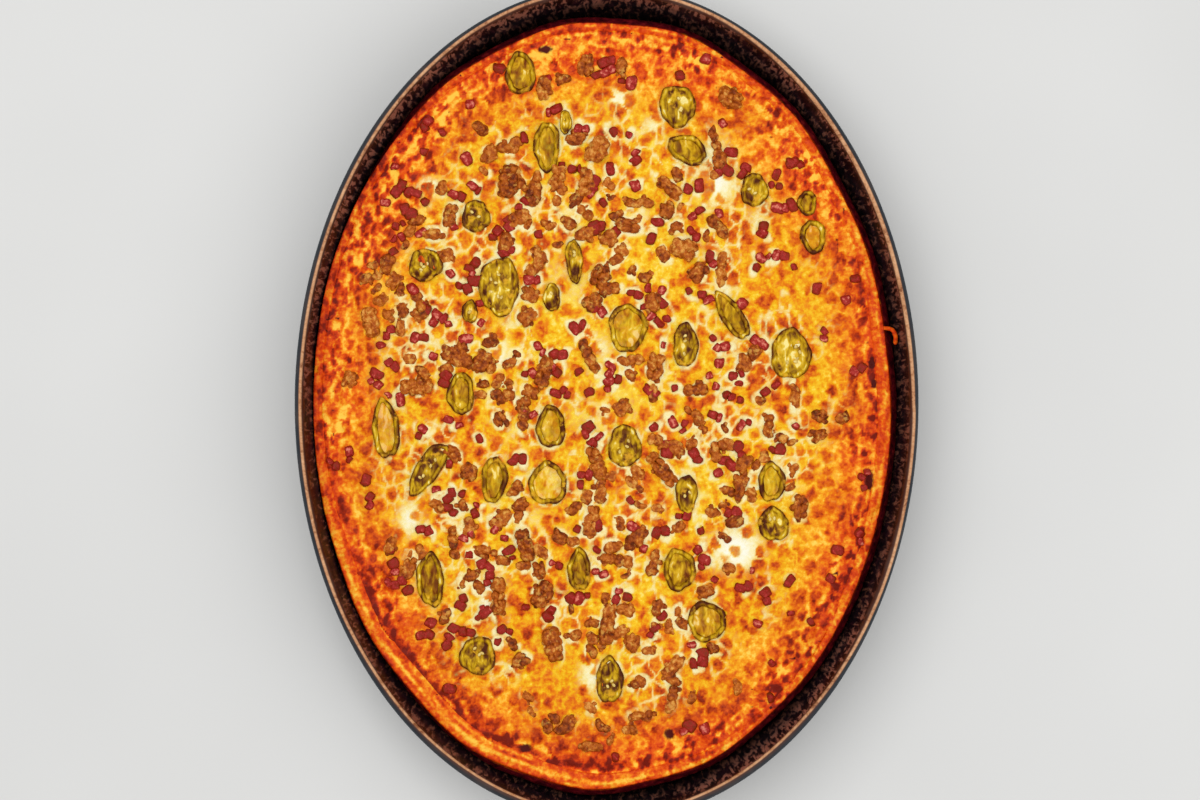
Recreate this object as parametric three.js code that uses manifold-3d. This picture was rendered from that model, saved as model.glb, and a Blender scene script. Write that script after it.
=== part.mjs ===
// A deep dish pizza with pepper slices, sausage and bacon bits, baked in its own oval metal pan.
// Millimetres, +Z up. The origin is the middle of the pan's flat underside, and +Y runs along
// its length. The crust stands in the pan with a gap round it, the cheese lies in the crust,
// and the larger toppings rest on the cheese. The small ones are fused to it.

import * as THREE from "three";
import { mergeVertices } from "three/addons/utils/BufferGeometryUtils.js";
import Module from "manifold-3d";

const wasm = await Module();
wasm.setup();

// Clear space between the cheese and the crust under it, and between a topping and the cheese.
const GAP = 0.3;
const TOPPING_GAP = 0.5;

// The pan: a pressed oval dish with leaning walls and a rolled rim.
const PAN_WIDTH = 305;
const PAN_LENGTH = 409;
const PAN_HEIGHT = 51;
const SHEET = 1.6;
const ROLL = 4.6;
const WALL_LEAN = THREE.MathUtils.degToRad(8);
const CORNER = 8;
const PAN_STEPS = 72;
const CORNER_STEPS = 3;
const ROLL_STEPS = 6;

// The crust: its lip touches the pan on the left and has drawn back from it elsewhere, while its
// flank spreads back towards the pan's wall lower down.
const CRUST_STEPS = 80;
const CRUST_BASE = SHEET + 0.4;
const FLANK_FOOT = 27;
const FLANK_SPREAD = 4.5;
const LIP_TOP = 35.2;
const LIP_UNEVEN = 0.55;
const LIP_SHOULDER = 1.3;
const LIP_ACROSS = [0.12, 0.45, 0.8, 1];
const LIP_DROP = [0.5, 0, 0.5, 1];
const RECESS_FLOOR = 27;
const RECESS_LEAN = 1.5;
const LEAST_GAP = 0.5;
const MEAN_GAP = 5.2;
const GAP_TO_THE_RIGHT = 2.5;
const GAP_TO_THE_BACK = 0.7;
const GAP_TO_THE_ENDS = 2.9;
const EDGE_WOBBLE = 0.45;
// Waves round the lip's edge and along its top: how many go round the pan, where they start in
// radians, and their share of the wobble.
const EDGE_WAVES = [
  [2, 0, -1],
  [4, 0.3, 1],
  [13, 0.55, 1],
  [15, 4.35, 0.7],
];
const LIP_WAVES = [
  [3, 0.6, 0.6],
  [5, 2.2, 0.6],
  [11, 1.1, 0.5],
  [17, 4, 0.5],
];

// The bare strip of crust outside the cheese: widest at the lower left, then at the right.
const BARE_LEAST = 3.2;
const BARE_LOWER_LEFT = 5;
const BARE_RIGHT = 2.2;
const LOWER_LEFT = THREE.MathUtils.degToRad(238);
const RIGHT = THREE.MathUtils.degToRad(5);

// A hook of crust that hangs over the lip at the right: its path and its thickness.
const HOOK = [
  [136.4, 37.4, 34.4],
  [140.4, 36.6, 36.6],
  [142.3, 33.6, 37.0],
  [142.4, 29.2, 36.0],
];
const HOOK_THICKNESS = 2;
const HOOK_SIDES = 6;
const HOOK_STEPS = 5;

// The cheese: dished a little, and thinner at its edge. Its lumps are given by their reach in x
// and in y, and the edge's height is reached at a share of the pan's size.
const CHEESE_STEPS = 60;
const CHEESE_RINGS = 10;
const CHEESE_MIDDLE = 32.4;
const CHEESE_EDGE = 34.1;
const CHEESE_EDGE_AT = 0.9;
const CHEESE_LUMPS = 0.75;
const BROAD_LUMPS = [15, 19];
const SMALL_LUMPS = [10, 17];
const CHEESE_DRAWN_IN = 0.6;
const CHEESE_ROUNDED = 1;
const CHEESE_OUTER_RING = 0.97;

// Pepper slices. Heights are above the cheese, and a slice may stand higher on one side.
const PEPPER_STEPS = 12;
const PEPPER_TOP = 2.4;
const PEPPER_BEVEL = 0.5;
const PEPPER_HOLLOW = 0.9;
const PEPPER_FLESH = 2.4;
const PEPPER_FLESH_SHARE = 0.2;
const PEPPER_RIDGE = [0.8, 1.4];
const PEPPER_LOBE = 0.05;
const PEPPER_TILT = 0.6;
const PEPPER_SEED = 3;
// Middle x, middle y, width, length, turn in degrees, and whether its middle is open or full.
const PEPPERS = [
  [-42.5, 163, 15, 21, 0, "open"],
  [35, 147, 18, 21, 8, "full"],
  [40, 125.5, 20, 14, -25, "open"],
  [-29.5, 127, 13, 25, 0, "open"],
  [-20.2, 139, 6, 12, 0, "full"],
  [73, 105.5, 13.5, 16.5, 0, "full"],
  [99, 99, 9.5, 12.5, 0, "open"],
  [102, 82.5, 12.5, 17, 6, "open"],
  [-64.5, 92.5, 14, 16, 0, "full"],
  [-89.5, 68.5, 17, 16, 30, "full"],
  [-53, 58, 20, 29, 0, "full"],
  [-67.5, 45.5, 8, 11.5, 0, "full"],
  [-27, 52.5, 8.5, 14, 0, "full"],
  [-16, 70.5, 8.5, 22, 4, "full"],
  [10.5, 37.5, 19, 24, 0, "open"],
  [39, 29, 12.5, 22, 0, "full"],
  [62, 43.5, 11, 27, 33, "open"],
  [91, 24.5, 20, 25, 0, "full"],
  [-109, -12.5, 13.5, 29.5, 5, "open"],
  [-88, -32, 12, 30.5, -34, "full"],
  [-72, 5, 13.5, 21, 0, "open"],
  [-27.5, -11.5, 14.5, 21, 0, "open"],
  [-55.5, -37.5, 13, 23, -5, "open"],
  [-29, -39.5, 19, 21.5, 0, "open"],
  [9, -21, 16.5, 21, 0, "full"],
  [39.5, -44.5, 11, 19, 0, "full"],
  [81.5, -38.5, 13.5, 19.5, 0, "open"],
  [82.5, -59.5, 15, 17, 20, "full"],
  [-13.5, -82, 11.5, 21, 0, "open"],
  [36, -82, 16, 21, 0, "open"],
  [49.5, -107.5, 19, 20, 20, "open"],
  [1.5, -136.5, 13.5, 23, 0, "full"],
  [-63.5, -124.5, 18, 19, 0, "full"],
  [-87, -87, 13.5, 27, 4, "open"],
];

// Lumps of sausage, sunk part of the way into the cheese.
const SAUSAGE_SIDES = 8;
const SAUSAGE_LEVELS = 5;
const SAUSAGE_SUNK = 1.6;
const SAUSAGE_RISE_SHARE = 0.3;
const SAUSAGE_HEIGHT = 7.5;
const SAUSAGE_LEAST = 0.9;
const SAUSAGE_BULGE = 0.22;
const SAUSAGE_SEED = 8;
// Middle x, middle y, length, breadth, turn in degrees.
const SAUSAGES = [
  [61, 151, 13, 9, -35],
  [53.5, 129.5, 17, 5.5, -75],
  [-48.5, 110, 17, 9, 80],
  [-116.5, 40.5, 16, 8, -75],
  [-4.5, 125.5, 13, 10, 60],
  [16, 99.5, 15, 6, 0],
  [31, 107, 15, 7, -38],
  [55, 88, 15, 6.5, -50],
  [38.5, 76.5, 13, 10, -20],
  [57, 66.5, 18, 6, 88],
  [-9, 24, 19, 6.5, -64],
  [-3, 63, 12, 9, 70],
  [24, 18, 15, 8, 85],
  [-94, 8.5, 16, 8.5, 5],
  [93, 3.5, 13, 5.5, 90],
  [27.5, -32.5, 20, 7, -50],
  [-5, -29, 16, 7.5, -72],
  [-75.5, -68.5, 17, 6, -85],
  [4.5, -77, 17.5, 6.5, -8],
  [-40, -70, 17, 8, -75],
  [-53.5, -95, 20.5, 7, 88],
  [-31.5, -94, 13.5, 9, 60],
  [-26.5, -119, 18, 9, -80],
];

// Small toppings fused to the cheese, scattered about some middles.
const SPREAD = 1.3;
const SMALLEST = 0.7;
const SIZE_RANGE = 0.6;
const OUTERMOST = 0.84;
const SPACING = 6.5;
// Crumbs of sausage. A patch is its middle x, middle y, reach in x, reach in y and share.
const CRUMBS = 36;
const CRUMB_LENGTH = 7.4;
const CRUMB_BREADTH = 0.72;
const CRUMB_HEIGHT = 0.6;
const CRUMB_SUNK = 0.2;
const CRUMB_CLEAR = 4.8;
const CRUMB_SEED = 11;
const CRUMB_PATCHES = [
  [-25, 100, 34, 26, 5],
  [30, 95, 28, 26, 4],
  [-100, 55, 18, 36, 4],
  [-55, 15, 42, 16, 5],
  [45, -30, 45, 24, 6],
  [5, -55, 16, 36, 4],
  [-60, -75, 36, 28, 5],
  [10, -115, 40, 24, 7],
  [80, -15, 22, 28, 3],
  [-10, -160, 30, 10, 2],
];
// Bits of bacon, in patches given the same way.
const BITS = 80;
const BIT_LENGTH = 6.6;
const BIT_BREADTH = 0.58;
const BIT_HEIGHT = 3.4;
const BIT_DRAWN_IN = 0.8;
const BIT_CLEAR = 4.2;
const BIT_SEED = 5;
const BIT_PATCHES = [
  [0, 10, 60, 62, 10],
  [62, 0, 34, 48, 6],
  [15, -92, 50, 30, 5],
  [-10, 105, 50, 34, 6],
  [-88, 30, 30, 52, 4],
  [-72, -80, 34, 44, 4],
  [62, 105, 40, 34, 3],
];

// A repeatable run of numbers from 0 to 1.
function makeDraw(seed) {
  let state = seed;
  return () => {
    state = (Math.imul(state, 1664525) + 1013904223) >>> 0;
    return state / 4294967296;
  };
}

// The solid that a closed geometry encloses.
function solidOf(geometry) {
  const bare = new THREE.BufferGeometry();
  bare.setAttribute("position", geometry.getAttribute("position"));
  bare.setIndex(geometry.index);
  const merged = mergeVertices(bare, 1e-4);
  const vertProperties = new Float32Array(merged.attributes.position.array);
  const triVerts = new Uint32Array(merged.index.array);
  return new wasm.Manifold(new wasm.Mesh({ numProp: 3, vertProperties, triVerts }));
}

// The geometry of a solid's largest body.
function geometryOf(solid) {
  const bodies = solid.decompose().sort((a, b) => b.volume() - a.volume());
  const mesh = bodies[0].getMesh();
  const geometry = new THREE.BufferGeometry();
  geometry.setAttribute("position", new THREE.BufferAttribute(mesh.vertProperties, 3));
  geometry.setIndex(new THREE.BufferAttribute(mesh.triVerts, 1));
  geometry.computeVertexNormals();
  return geometry;
}

// Rings of points listed from the bottom up, joined by strips. A tube's last ring joins its
// first, and any other stack is closed by a fan over each end.
function stackRings(rings, tube = false) {
  const count = rings[0].length;
  const points = rings.flat();
  const faces = [];
  const strips = tube ? rings.length : rings.length - 1;
  for (let level = 0; level < strips; level++) {
    const low = level * count;
    const high = ((level + 1) % rings.length) * count;
    for (let i = 0; i < count; i++) {
      const next = (i + 1) % count;
      faces.push(low + i, low + next, high + next, low + i, high + next, high + i);
    }
  }
  if (!tube) {
    const bottom = points.length;
    const top = points.length + 1;
    points.push(middleOf(rings[0]), middleOf(rings.at(-1)));
    const high = (rings.length - 1) * count;
    for (let i = 0; i < count; i++) {
      const next = (i + 1) % count;
      faces.push(bottom, next, i, top, high + i, high + next);
    }
  }
  const geometry = new THREE.BufferGeometry().setFromPoints(points);
  geometry.setIndex(faces);
  geometry.computeVertexNormals();
  return geometry;
}

function middleOf(ring) {
  const sum = new THREE.Vector3();
  ring.forEach((point) => sum.add(point));
  return sum.divideScalar(ring.length);
}

// A ring on the oval that lies inset millimetres inside the pan's outer edge.
function ovalRing(steps, insetAt, heightAt) {
  return Array.from({ length: steps }, (_, i) => {
    const turn = (2 * Math.PI * i) / steps;
    const inset = insetAt(turn);
    const x = (PAN_WIDTH / 2 - inset) * Math.cos(turn);
    const y = (PAN_LENGTH / 2 - inset) * Math.sin(turn);
    return new THREE.Vector3(x, y, heightAt(turn, x, y));
  });
}

// How far the pan's inner wall lies inside its outer edge at a height.
function wallInset(height) {
  return ROLL + (PAN_HEIGHT - height) * Math.tan(WALL_LEAN);
}

// The pan's section turned once round, then drawn out along Y into the oval.
function panGeometry() {
  const halfWidth = PAN_WIDTH / 2;
  const drawnOut = (PAN_LENGTH - PAN_WIDTH) / 2;
  const outerCorner = CORNER + SHEET;
  const wallAt = (height) => halfWidth - wallInset(height);
  const cornerAt = wallAt(outerCorner) - CORNER;
  const section = [new THREE.Vector2(0, 0)];
  for (let i = 0; i <= CORNER_STEPS; i++) {
    const turn = ((Math.PI / 2) * i) / CORNER_STEPS;
    const x = cornerAt + outerCorner * Math.sin(turn);
    section.push(new THREE.Vector2(x, outerCorner * (1 - Math.cos(turn))));
  }
  const roll = ROLL / 2;
  const rollStart = THREE.MathUtils.degToRad(-120);
  const rollTurn = THREE.MathUtils.degToRad(300);
  for (let i = 0; i <= ROLL_STEPS; i++) {
    const turn = rollStart + (rollTurn * i) / ROLL_STEPS;
    const x = halfWidth - roll + roll * Math.cos(turn);
    section.push(new THREE.Vector2(x, PAN_HEIGHT - roll + roll * Math.sin(turn)));
  }
  for (let i = CORNER_STEPS; i >= 0; i--) {
    const turn = ((Math.PI / 2) * i) / CORNER_STEPS;
    const x = cornerAt + CORNER * Math.sin(turn);
    section.push(new THREE.Vector2(x, SHEET + CORNER * (1 - Math.cos(turn))));
  }
  section.push(new THREE.Vector2(0, SHEET));
  const geometry = new THREE.LatheGeometry(section, PAN_STEPS).rotateX(Math.PI / 2);
  const position = geometry.getAttribute("position");
  for (let i = 0; i < position.count; i++) {
    const radius = Math.hypot(position.getX(i), position.getY(i));
    if (radius > 1) position.setY(i, position.getY(i) * (1 + drawnOut / radius));
  }
  return geometryOf(solidOf(geometry));
}

// The sum of some waves at an angle round the pan.
function wavesAt(turn, waves) {
  return waves.reduce((sum, [times, start, share]) => sum + share * Math.sin(times * turn + start), 0);
}

// The gap between the crust's lip and the pan's wall.
function lipGap(turn) {
  const toTheRight = GAP_TO_THE_RIGHT * Math.cos(turn);
  const toTheBack = GAP_TO_THE_BACK * Math.sin(turn);
  const toTheEnds = GAP_TO_THE_ENDS * Math.cos(2 * turn);
  const wobble = EDGE_WOBBLE * wavesAt(turn, EDGE_WAVES);
  return Math.max(LEAST_GAP, MEAN_GAP + toTheRight + toTheBack - toTheEnds + wobble);
}

// The crust's outer edge at its lip, and its side lower down, as insets from the pan's edge.
function crustInset(turn) {
  return wallInset(LIP_TOP) + lipGap(turn);
}

function footInset(turn, height) {
  return wallInset(height) + Math.max(LEAST_GAP, lipGap(turn) - FLANK_SPREAD);
}

// The width of the bare lip between the crust's edge and the cheese.
function bareWidth(turn) {
  const lowerLeft = Math.max(0, Math.cos(turn - LOWER_LEFT)) ** 3;
  const right = Math.max(0, Math.cos(turn - RIGHT)) ** 4;
  return BARE_LEAST + BARE_LOWER_LEFT * lowerLeft + BARE_RIGHT * right;
}

function lipHeight(turn) {
  return LIP_TOP + LIP_UNEVEN * wavesAt(turn, LIP_WAVES);
}

function crustGeometry() {
  const cornerTop = CRUST_BASE + CORNER;
  const level = (height) => () => height;
  const rings = [0, Math.PI / 4, Math.PI / 2].map((bend) => {
    const inside = CORNER * (1 - Math.sin(bend));
    const height = cornerTop - CORNER * Math.cos(bend);
    return ovalRing(CRUST_STEPS, (turn) => footInset(turn, cornerTop) + inside, level(height));
  });
  rings.push(ovalRing(CRUST_STEPS, (turn) => footInset(turn, FLANK_FOOT), level(FLANK_FOOT)));
  const lip = (drop) => (turn) => lipHeight(turn) - drop;
  const across = (share) => (turn) => crustInset(turn) + bareWidth(turn) * share;
  const shoulder = (turn) => crustInset(turn) + LIP_SHOULDER * 2 * Math.tan(WALL_LEAN);
  rings.push(ovalRing(CRUST_STEPS, shoulder, lip(LIP_SHOULDER * 2)));
  LIP_ACROSS.forEach((share, i) => {
    rings.push(ovalRing(CRUST_STEPS, across(share), lip(LIP_SHOULDER * LIP_DROP[i])));
  });
  const recess = (turn) => crustInset(turn) + bareWidth(turn) + RECESS_LEAN;
  rings.push(ovalRing(CRUST_STEPS, recess, level(RECESS_FLOOR)));
  return geometryOf(solidOf(stackRings(rings)).add(solidOf(hookGeometry())));
}

// A bent finger of crust.
function hookGeometry() {
  const path = new THREE.CatmullRomCurve3(HOOK.map((point) => new THREE.Vector3(...point)));
  const corners = Array.from({ length: HOOK_SIDES }, (_, i) => {
    const turn = (2 * Math.PI * i) / HOOK_SIDES;
    return new THREE.Vector2(Math.cos(turn), Math.sin(turn)).multiplyScalar(HOOK_THICKNESS / 2);
  });
  const settings = { steps: HOOK_STEPS, extrudePath: path };
  return new THREE.ExtrudeGeometry(new THREE.Shape(corners), settings);
}

// The height of the cheese's top at a place, before anything is fused to it.
function cheeseHeight(x, y) {
  const share = Math.hypot(x / (PAN_WIDTH / 2), y / (PAN_LENGTH / 2));
  const dish = CHEESE_MIDDLE + (CHEESE_EDGE - CHEESE_MIDDLE) * (share / CHEESE_EDGE_AT) ** 3;
  const broad = Math.sin(x / BROAD_LUMPS[0] + 1.3) * Math.cos(y / BROAD_LUMPS[1] - 0.4);
  const small = Math.sin((x + y) / SMALL_LUMPS[0]) * Math.cos((x - 2 * y) / SMALL_LUMPS[1] + 0.8);
  return dish + CHEESE_LUMPS * (0.6 * broad + 0.4 * small) * (1 - share ** 4);
}

// The cheese without its toppings: a flat bottom, a rounded edge and rings towards the middle.
function cheeseCore() {
  const edge = (turn) => crustInset(turn) + bareWidth(turn) + CHEESE_DRAWN_IN;
  const foot = ovalRing(CHEESE_STEPS, (turn) => edge(turn) + RECESS_LEAN, () => RECESS_FLOOR + GAP);
  const outline = ovalRing(CHEESE_STEPS, edge, (turn, x, y) => cheeseHeight(x, y) - CHEESE_ROUNDED);
  const rings = Array.from({ length: CHEESE_RINGS }, (_, i) => {
    const share = CHEESE_OUTER_RING * (1 - i / CHEESE_RINGS);
    return outline.map(({ x, y }) => {
      return new THREE.Vector3(x * share, y * share, cheeseHeight(x * share, y * share));
    });
  });
  return solidOf(stackRings([foot, outline, ...rings]));
}

// Whether a place lies within a margin of a pepper slice or a lump of sausage.
function onTopping(x, y, margin) {
  return [...PEPPERS, ...SAUSAGES].some(([middleX, middleY, across, along, degrees]) => {
    const turn = THREE.MathUtils.degToRad(degrees);
    const u = (x - middleX) * Math.cos(turn) + (y - middleY) * Math.sin(turn);
    const v = (y - middleY) * Math.cos(turn) - (x - middleX) * Math.sin(turn);
    return Math.hypot(u / (across / 2 + margin), v / (along / 2 + margin)) < 1;
  });
}

function near(places, x, y) {
  return places.some((place) => Math.hypot(place.x - x, place.y - y) < SPACING);
}

// Places for small toppings, thickest about the patches' middles and clear of the larger ones.
function scatter(seed, count, patches, margin) {
  const draw = makeDraw(seed);
  const offset = (reach) => reach * SPREAD * (draw() + draw() + draw() - 1.5);
  const shares = patches.reduce((sum, patch) => sum + patch[4], 0);
  const places = [];
  while (places.length < count) {
    let pick = draw() * shares;
    const [middleX, middleY, reachX, reachY] = patches.find(([, , , , share]) => {
      pick -= share;
      return pick < 0;
    });
    const x = middleX + offset(reachX);
    const y = middleY + offset(reachY);
    const size = SMALLEST + SIZE_RANGE * draw();
    const turn = Math.PI * draw();
    const share = Math.hypot(x / (PAN_WIDTH / 2), y / (PAN_LENGTH / 2));
    if (share < OUTERMOST && !near(places, x, y) && !onTopping(x, y, margin)) {
      places.push({ x, y, size, turn });
    }
  }
  return places;
}

// A block of bacon with its top edges drawn in.
function bitGeometry(length) {
  const block = new THREE.BoxGeometry(length, length * BIT_BREADTH, BIT_HEIGHT);
  const position = block.getAttribute("position");
  for (let i = 0; i < position.count; i++) {
    const drawnIn = position.getZ(i) > 0 ? BIT_DRAWN_IN : 1;
    position.setX(i, position.getX(i) * drawnIn);
    position.setY(i, position.getY(i) * drawnIn);
  }
  return block;
}

function crumbGeometry(length) {
  const crumb = new THREE.IcosahedronGeometry(0.5);
  return crumb.scale(length, length * CRUMB_BREADTH, length * CRUMB_HEIGHT).translate(0, 0, -CRUMB_SUNK);
}

function cheeseGeometry() {
  const crumbs = scatter(CRUMB_SEED, CRUMBS, CRUMB_PATCHES, CRUMB_CLEAR);
  const bits = scatter(BIT_SEED, BITS, BIT_PATCHES, BIT_CLEAR).filter(({ x, y }) => !near(crumbs, x, y));
  let whole = cheeseCore();
  const fuse = (geometry, { x, y, turn }) => {
    geometry.rotateZ(turn).translate(x, y, cheeseHeight(x, y));
    whole = whole.add(solidOf(geometry));
  };
  crumbs.forEach((place) => fuse(crumbGeometry(CRUMB_LENGTH * place.size), place));
  bits.forEach((place) => fuse(bitGeometry(BIT_LENGTH * place.size), place));
  return geometryOf(whole);
}

// A slice across a pepper: a band of flesh round an open middle, or round a sunk full one.
function pepperGeometry(width, length, open, draw) {
  const lobes = 2 * Math.PI * draw();
  const tilt = PEPPER_TILT * (draw() - 0.5);
  const ring = (drawnIn, height) =>
    Array.from({ length: PEPPER_STEPS }, (_, i) => {
      const turn = (2 * Math.PI * i) / PEPPER_STEPS;
      const lobe = 1 + PEPPER_LOBE * Math.cos(3 * turn + lobes);
      const x = (width / 2 - drawnIn) * lobe * Math.cos(turn);
      const y = (length / 2 - drawnIn) * lobe * Math.sin(turn);
      const raised = height > 0 ? tilt * Math.cos(turn) : 0;
      return new THREE.Vector3(x, y, height + raised);
    });
  const flesh = Math.min(PEPPER_FLESH, width * PEPPER_FLESH_SHARE);
  const skin = [ring(0, 0), ring(PEPPER_BEVEL / 2, PEPPER_TOP - PEPPER_BEVEL)];
  if (open) {
    return stackRings([...skin, ring(flesh, PEPPER_TOP), ring(flesh + PEPPER_BEVEL / 2, 0)], true);
  }
  const ridge = ring(flesh * PEPPER_RIDGE[0], PEPPER_TOP);
  const middle = ring(flesh * PEPPER_RIDGE[1], PEPPER_TOP - PEPPER_HOLLOW);
  return stackRings([...skin, ridge, middle]);
}

// A rough lump of ground sausage.
function sausageGeometry(length, breadth, draw) {
  const sphere = new THREE.SphereGeometry(0.5, SAUSAGE_SIDES, SAUSAGE_LEVELS);
  const lump = mergeVertices(sphere.deleteAttribute("normal").deleteAttribute("uv"));
  const position = lump.getAttribute("position");
  const point = new THREE.Vector3();
  for (let i = 0; i < position.count; i++) {
    point.fromBufferAttribute(position, i).multiplyScalar(SAUSAGE_LEAST + SAUSAGE_BULGE * draw());
    position.setXYZ(i, point.x, point.y, point.z);
  }
  lump.rotateX(Math.PI / 2).scale(length, breadth, Math.min(breadth, SAUSAGE_HEIGHT));
  return lump.translate(0, 0, breadth * SAUSAGE_RISE_SHARE - SAUSAGE_SUNK);
}

function named(name, geometry, color, roughness, metalness = 0) {
  const material = new THREE.MeshStandardMaterial({ color, roughness, metalness });
  const mesh = new THREE.Mesh(geometry, material);
  mesh.name = name;
  return mesh;
}

const panMesh = () => named("pan", panGeometry(), 0x2a1c1a, 0.45, 0.6);
const crustMesh = () => named("crust", crustGeometry(), 0xe08a2c, 0.75);
const cheeseMesh = () => named("cheese", cheeseGeometry(), 0xf2b03a, 0.55);
const pepperMesh = (name, geometry) => named(name, geometry, 0x9a8a22, 0.5);
const sausageMesh = (name, geometry) => named(name, geometry, 0x96581e, 0.8);

// Lays a topping, modelled about its own middle on a flat surface, over the uneven cheese.
function lay(mesh, x, y, degrees) {
  const turn = THREE.MathUtils.degToRad(degrees);
  const middle = cheeseHeight(x, y);
  const position = mesh.geometry.getAttribute("position");
  for (let i = 0; i < position.count; i++) {
    const u = position.getX(i);
    const v = position.getY(i);
    const acrossX = x + u * Math.cos(turn) - v * Math.sin(turn);
    const acrossY = y + u * Math.sin(turn) + v * Math.cos(turn);
    const above = Math.max(position.getZ(i), TOPPING_GAP);
    position.setZ(i, above + cheeseHeight(acrossX, acrossY) - middle);
  }
  mesh.geometry.computeVertexNormals();
  mesh.position.set(x, y, middle);
  mesh.rotation.z = turn;
  return mesh;
}

const numbered = (kind, i) => `${kind}_${String(i + 1).padStart(2, "0")}`;
const pepperDraw = makeDraw(PEPPER_SEED);
const sausageDraw = makeDraw(SAUSAGE_SEED);

const group = new THREE.Group();
group.name = "deep_dish_pizza";
group.add(panMesh(), crustMesh(), cheeseMesh());
PEPPERS.forEach(([x, y, width, length, degrees, middle], i) => {
  const slice = pepperGeometry(width, length, middle === "open", pepperDraw);
  group.add(lay(pepperMesh(numbered("pepper", i), slice), x, y, degrees));
});
SAUSAGES.forEach(([x, y, length, breadth, degrees], i) => {
  const lump = sausageGeometry(length, breadth, sausageDraw);
  group.add(lay(sausageMesh(numbered("sausage", i), lump), x, y, degrees));
});

export default group;
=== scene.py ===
import itertools
import math

import bpy
import numpy as np
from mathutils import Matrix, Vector


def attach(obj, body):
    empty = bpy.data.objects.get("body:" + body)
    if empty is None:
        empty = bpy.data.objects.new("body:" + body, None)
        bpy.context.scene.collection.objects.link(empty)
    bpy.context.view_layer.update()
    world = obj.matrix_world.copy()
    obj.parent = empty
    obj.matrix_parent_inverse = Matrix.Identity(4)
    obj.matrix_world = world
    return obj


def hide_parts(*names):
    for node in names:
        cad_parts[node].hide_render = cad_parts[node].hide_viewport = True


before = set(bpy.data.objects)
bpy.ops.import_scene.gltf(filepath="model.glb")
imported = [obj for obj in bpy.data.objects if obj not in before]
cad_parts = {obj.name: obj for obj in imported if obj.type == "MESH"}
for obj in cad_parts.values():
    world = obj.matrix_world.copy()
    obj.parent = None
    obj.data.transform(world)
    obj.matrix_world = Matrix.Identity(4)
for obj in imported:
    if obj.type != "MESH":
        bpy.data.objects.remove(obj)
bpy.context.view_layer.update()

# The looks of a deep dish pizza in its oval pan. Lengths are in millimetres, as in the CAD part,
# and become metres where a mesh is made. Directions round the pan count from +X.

MM = 0.001

# Driving sizes shared with the CAD part: the pan.
PAN_WIDTH = 305.0
PAN_LENGTH = 409.0
PAN_HEIGHT = 51.0
SHEET = 1.6
ROLL = 4.6
WALL_LEAN = math.radians(8)
CORNER = 8.0

# The crust, and the gap between its lip and the pan's wall.
CRUST_BASE = SHEET + 0.4
FLANK_FOOT = 27.0
FLANK_SPREAD = 4.5
LIP_TOP = 35.2
LIP_UNEVEN = 0.55
LIP_SHOULDER = 1.3
LEAST_GAP = 0.5
MEAN_GAP = 5.2
GAP_TO_THE_RIGHT = 2.5
GAP_TO_THE_BACK = 0.7
GAP_TO_THE_ENDS = 2.9
EDGE_WOBBLE = 0.45
BARE_LEAST = 3.2
BARE_LOWER_LEFT = 5.0
BARE_RIGHT = 2.2
LOWER_LEFT = math.radians(238)
RIGHT = math.radians(5)
HOOK = [(136.4, 37.4, 34.4), (140.4, 36.6, 36.6), (142.3, 33.6, 37.0), (142.4, 29.2, 36.0)]
HOOK_THICKNESS = 2.0

# Waves round the lip's edge and along its top: how many go round the pan, where they start in
# radians, and their share of the wobble.
EDGE_WAVES = [(2, 0, -1), (4, 0.3, 1), (13, 0.55, 1), (15, 4.35, 0.7)]
LIP_WAVES = [(3, 0.6, 0.6), (5, 2.2, 0.6), (11, 1.1, 0.5), (17, 4, 0.5)]

# The cheese. Its lumps are given by their reach in x and in y.
CHEESE_MIDDLE = 32.4
CHEESE_EDGE = 34.1
CHEESE_EDGE_AT = 0.9
CHEESE_LUMPS = 0.75
BROAD_LUMPS = (15, 19)
SMALL_LUMPS = (10, 17)

# From here on only the visual model's own, but for the toppings. How finely the pan, the crust,
# its hook and a pepper slice are divided, the cheese's grid, and the heights at which the crust
# and the cheese are closed where they don't show.
PAN_STEPS = 288
CRUST_STEPS = 1100
HOOK_STEPS = 8
CHEESE_GRID = 0.95
PEPPER_STEPS = 72
CRUST_FOOT = CRUST_BASE + 0.1
CRUST_INNER_TOP = 30.0
CHEESE_UNDERSIDE = 28.0

# The smooth pan is this much smaller than the CAD one, whose facets cut its curve short, so that
# it stays inside that one's box. Its rim is rolled from one direction through an angle.
WITHIN_CAD = 0.999
ROLL_START = math.radians(-120)
ROLL_TURN = math.radians(300)

# Noise repeats after this many cells, in a plane and in space. Streaks along the rim are measured
# on a circle of about its radius.
LATTICE = 128
SPACE_LATTICE = 32
RIM_RADIUS = 170

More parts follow.
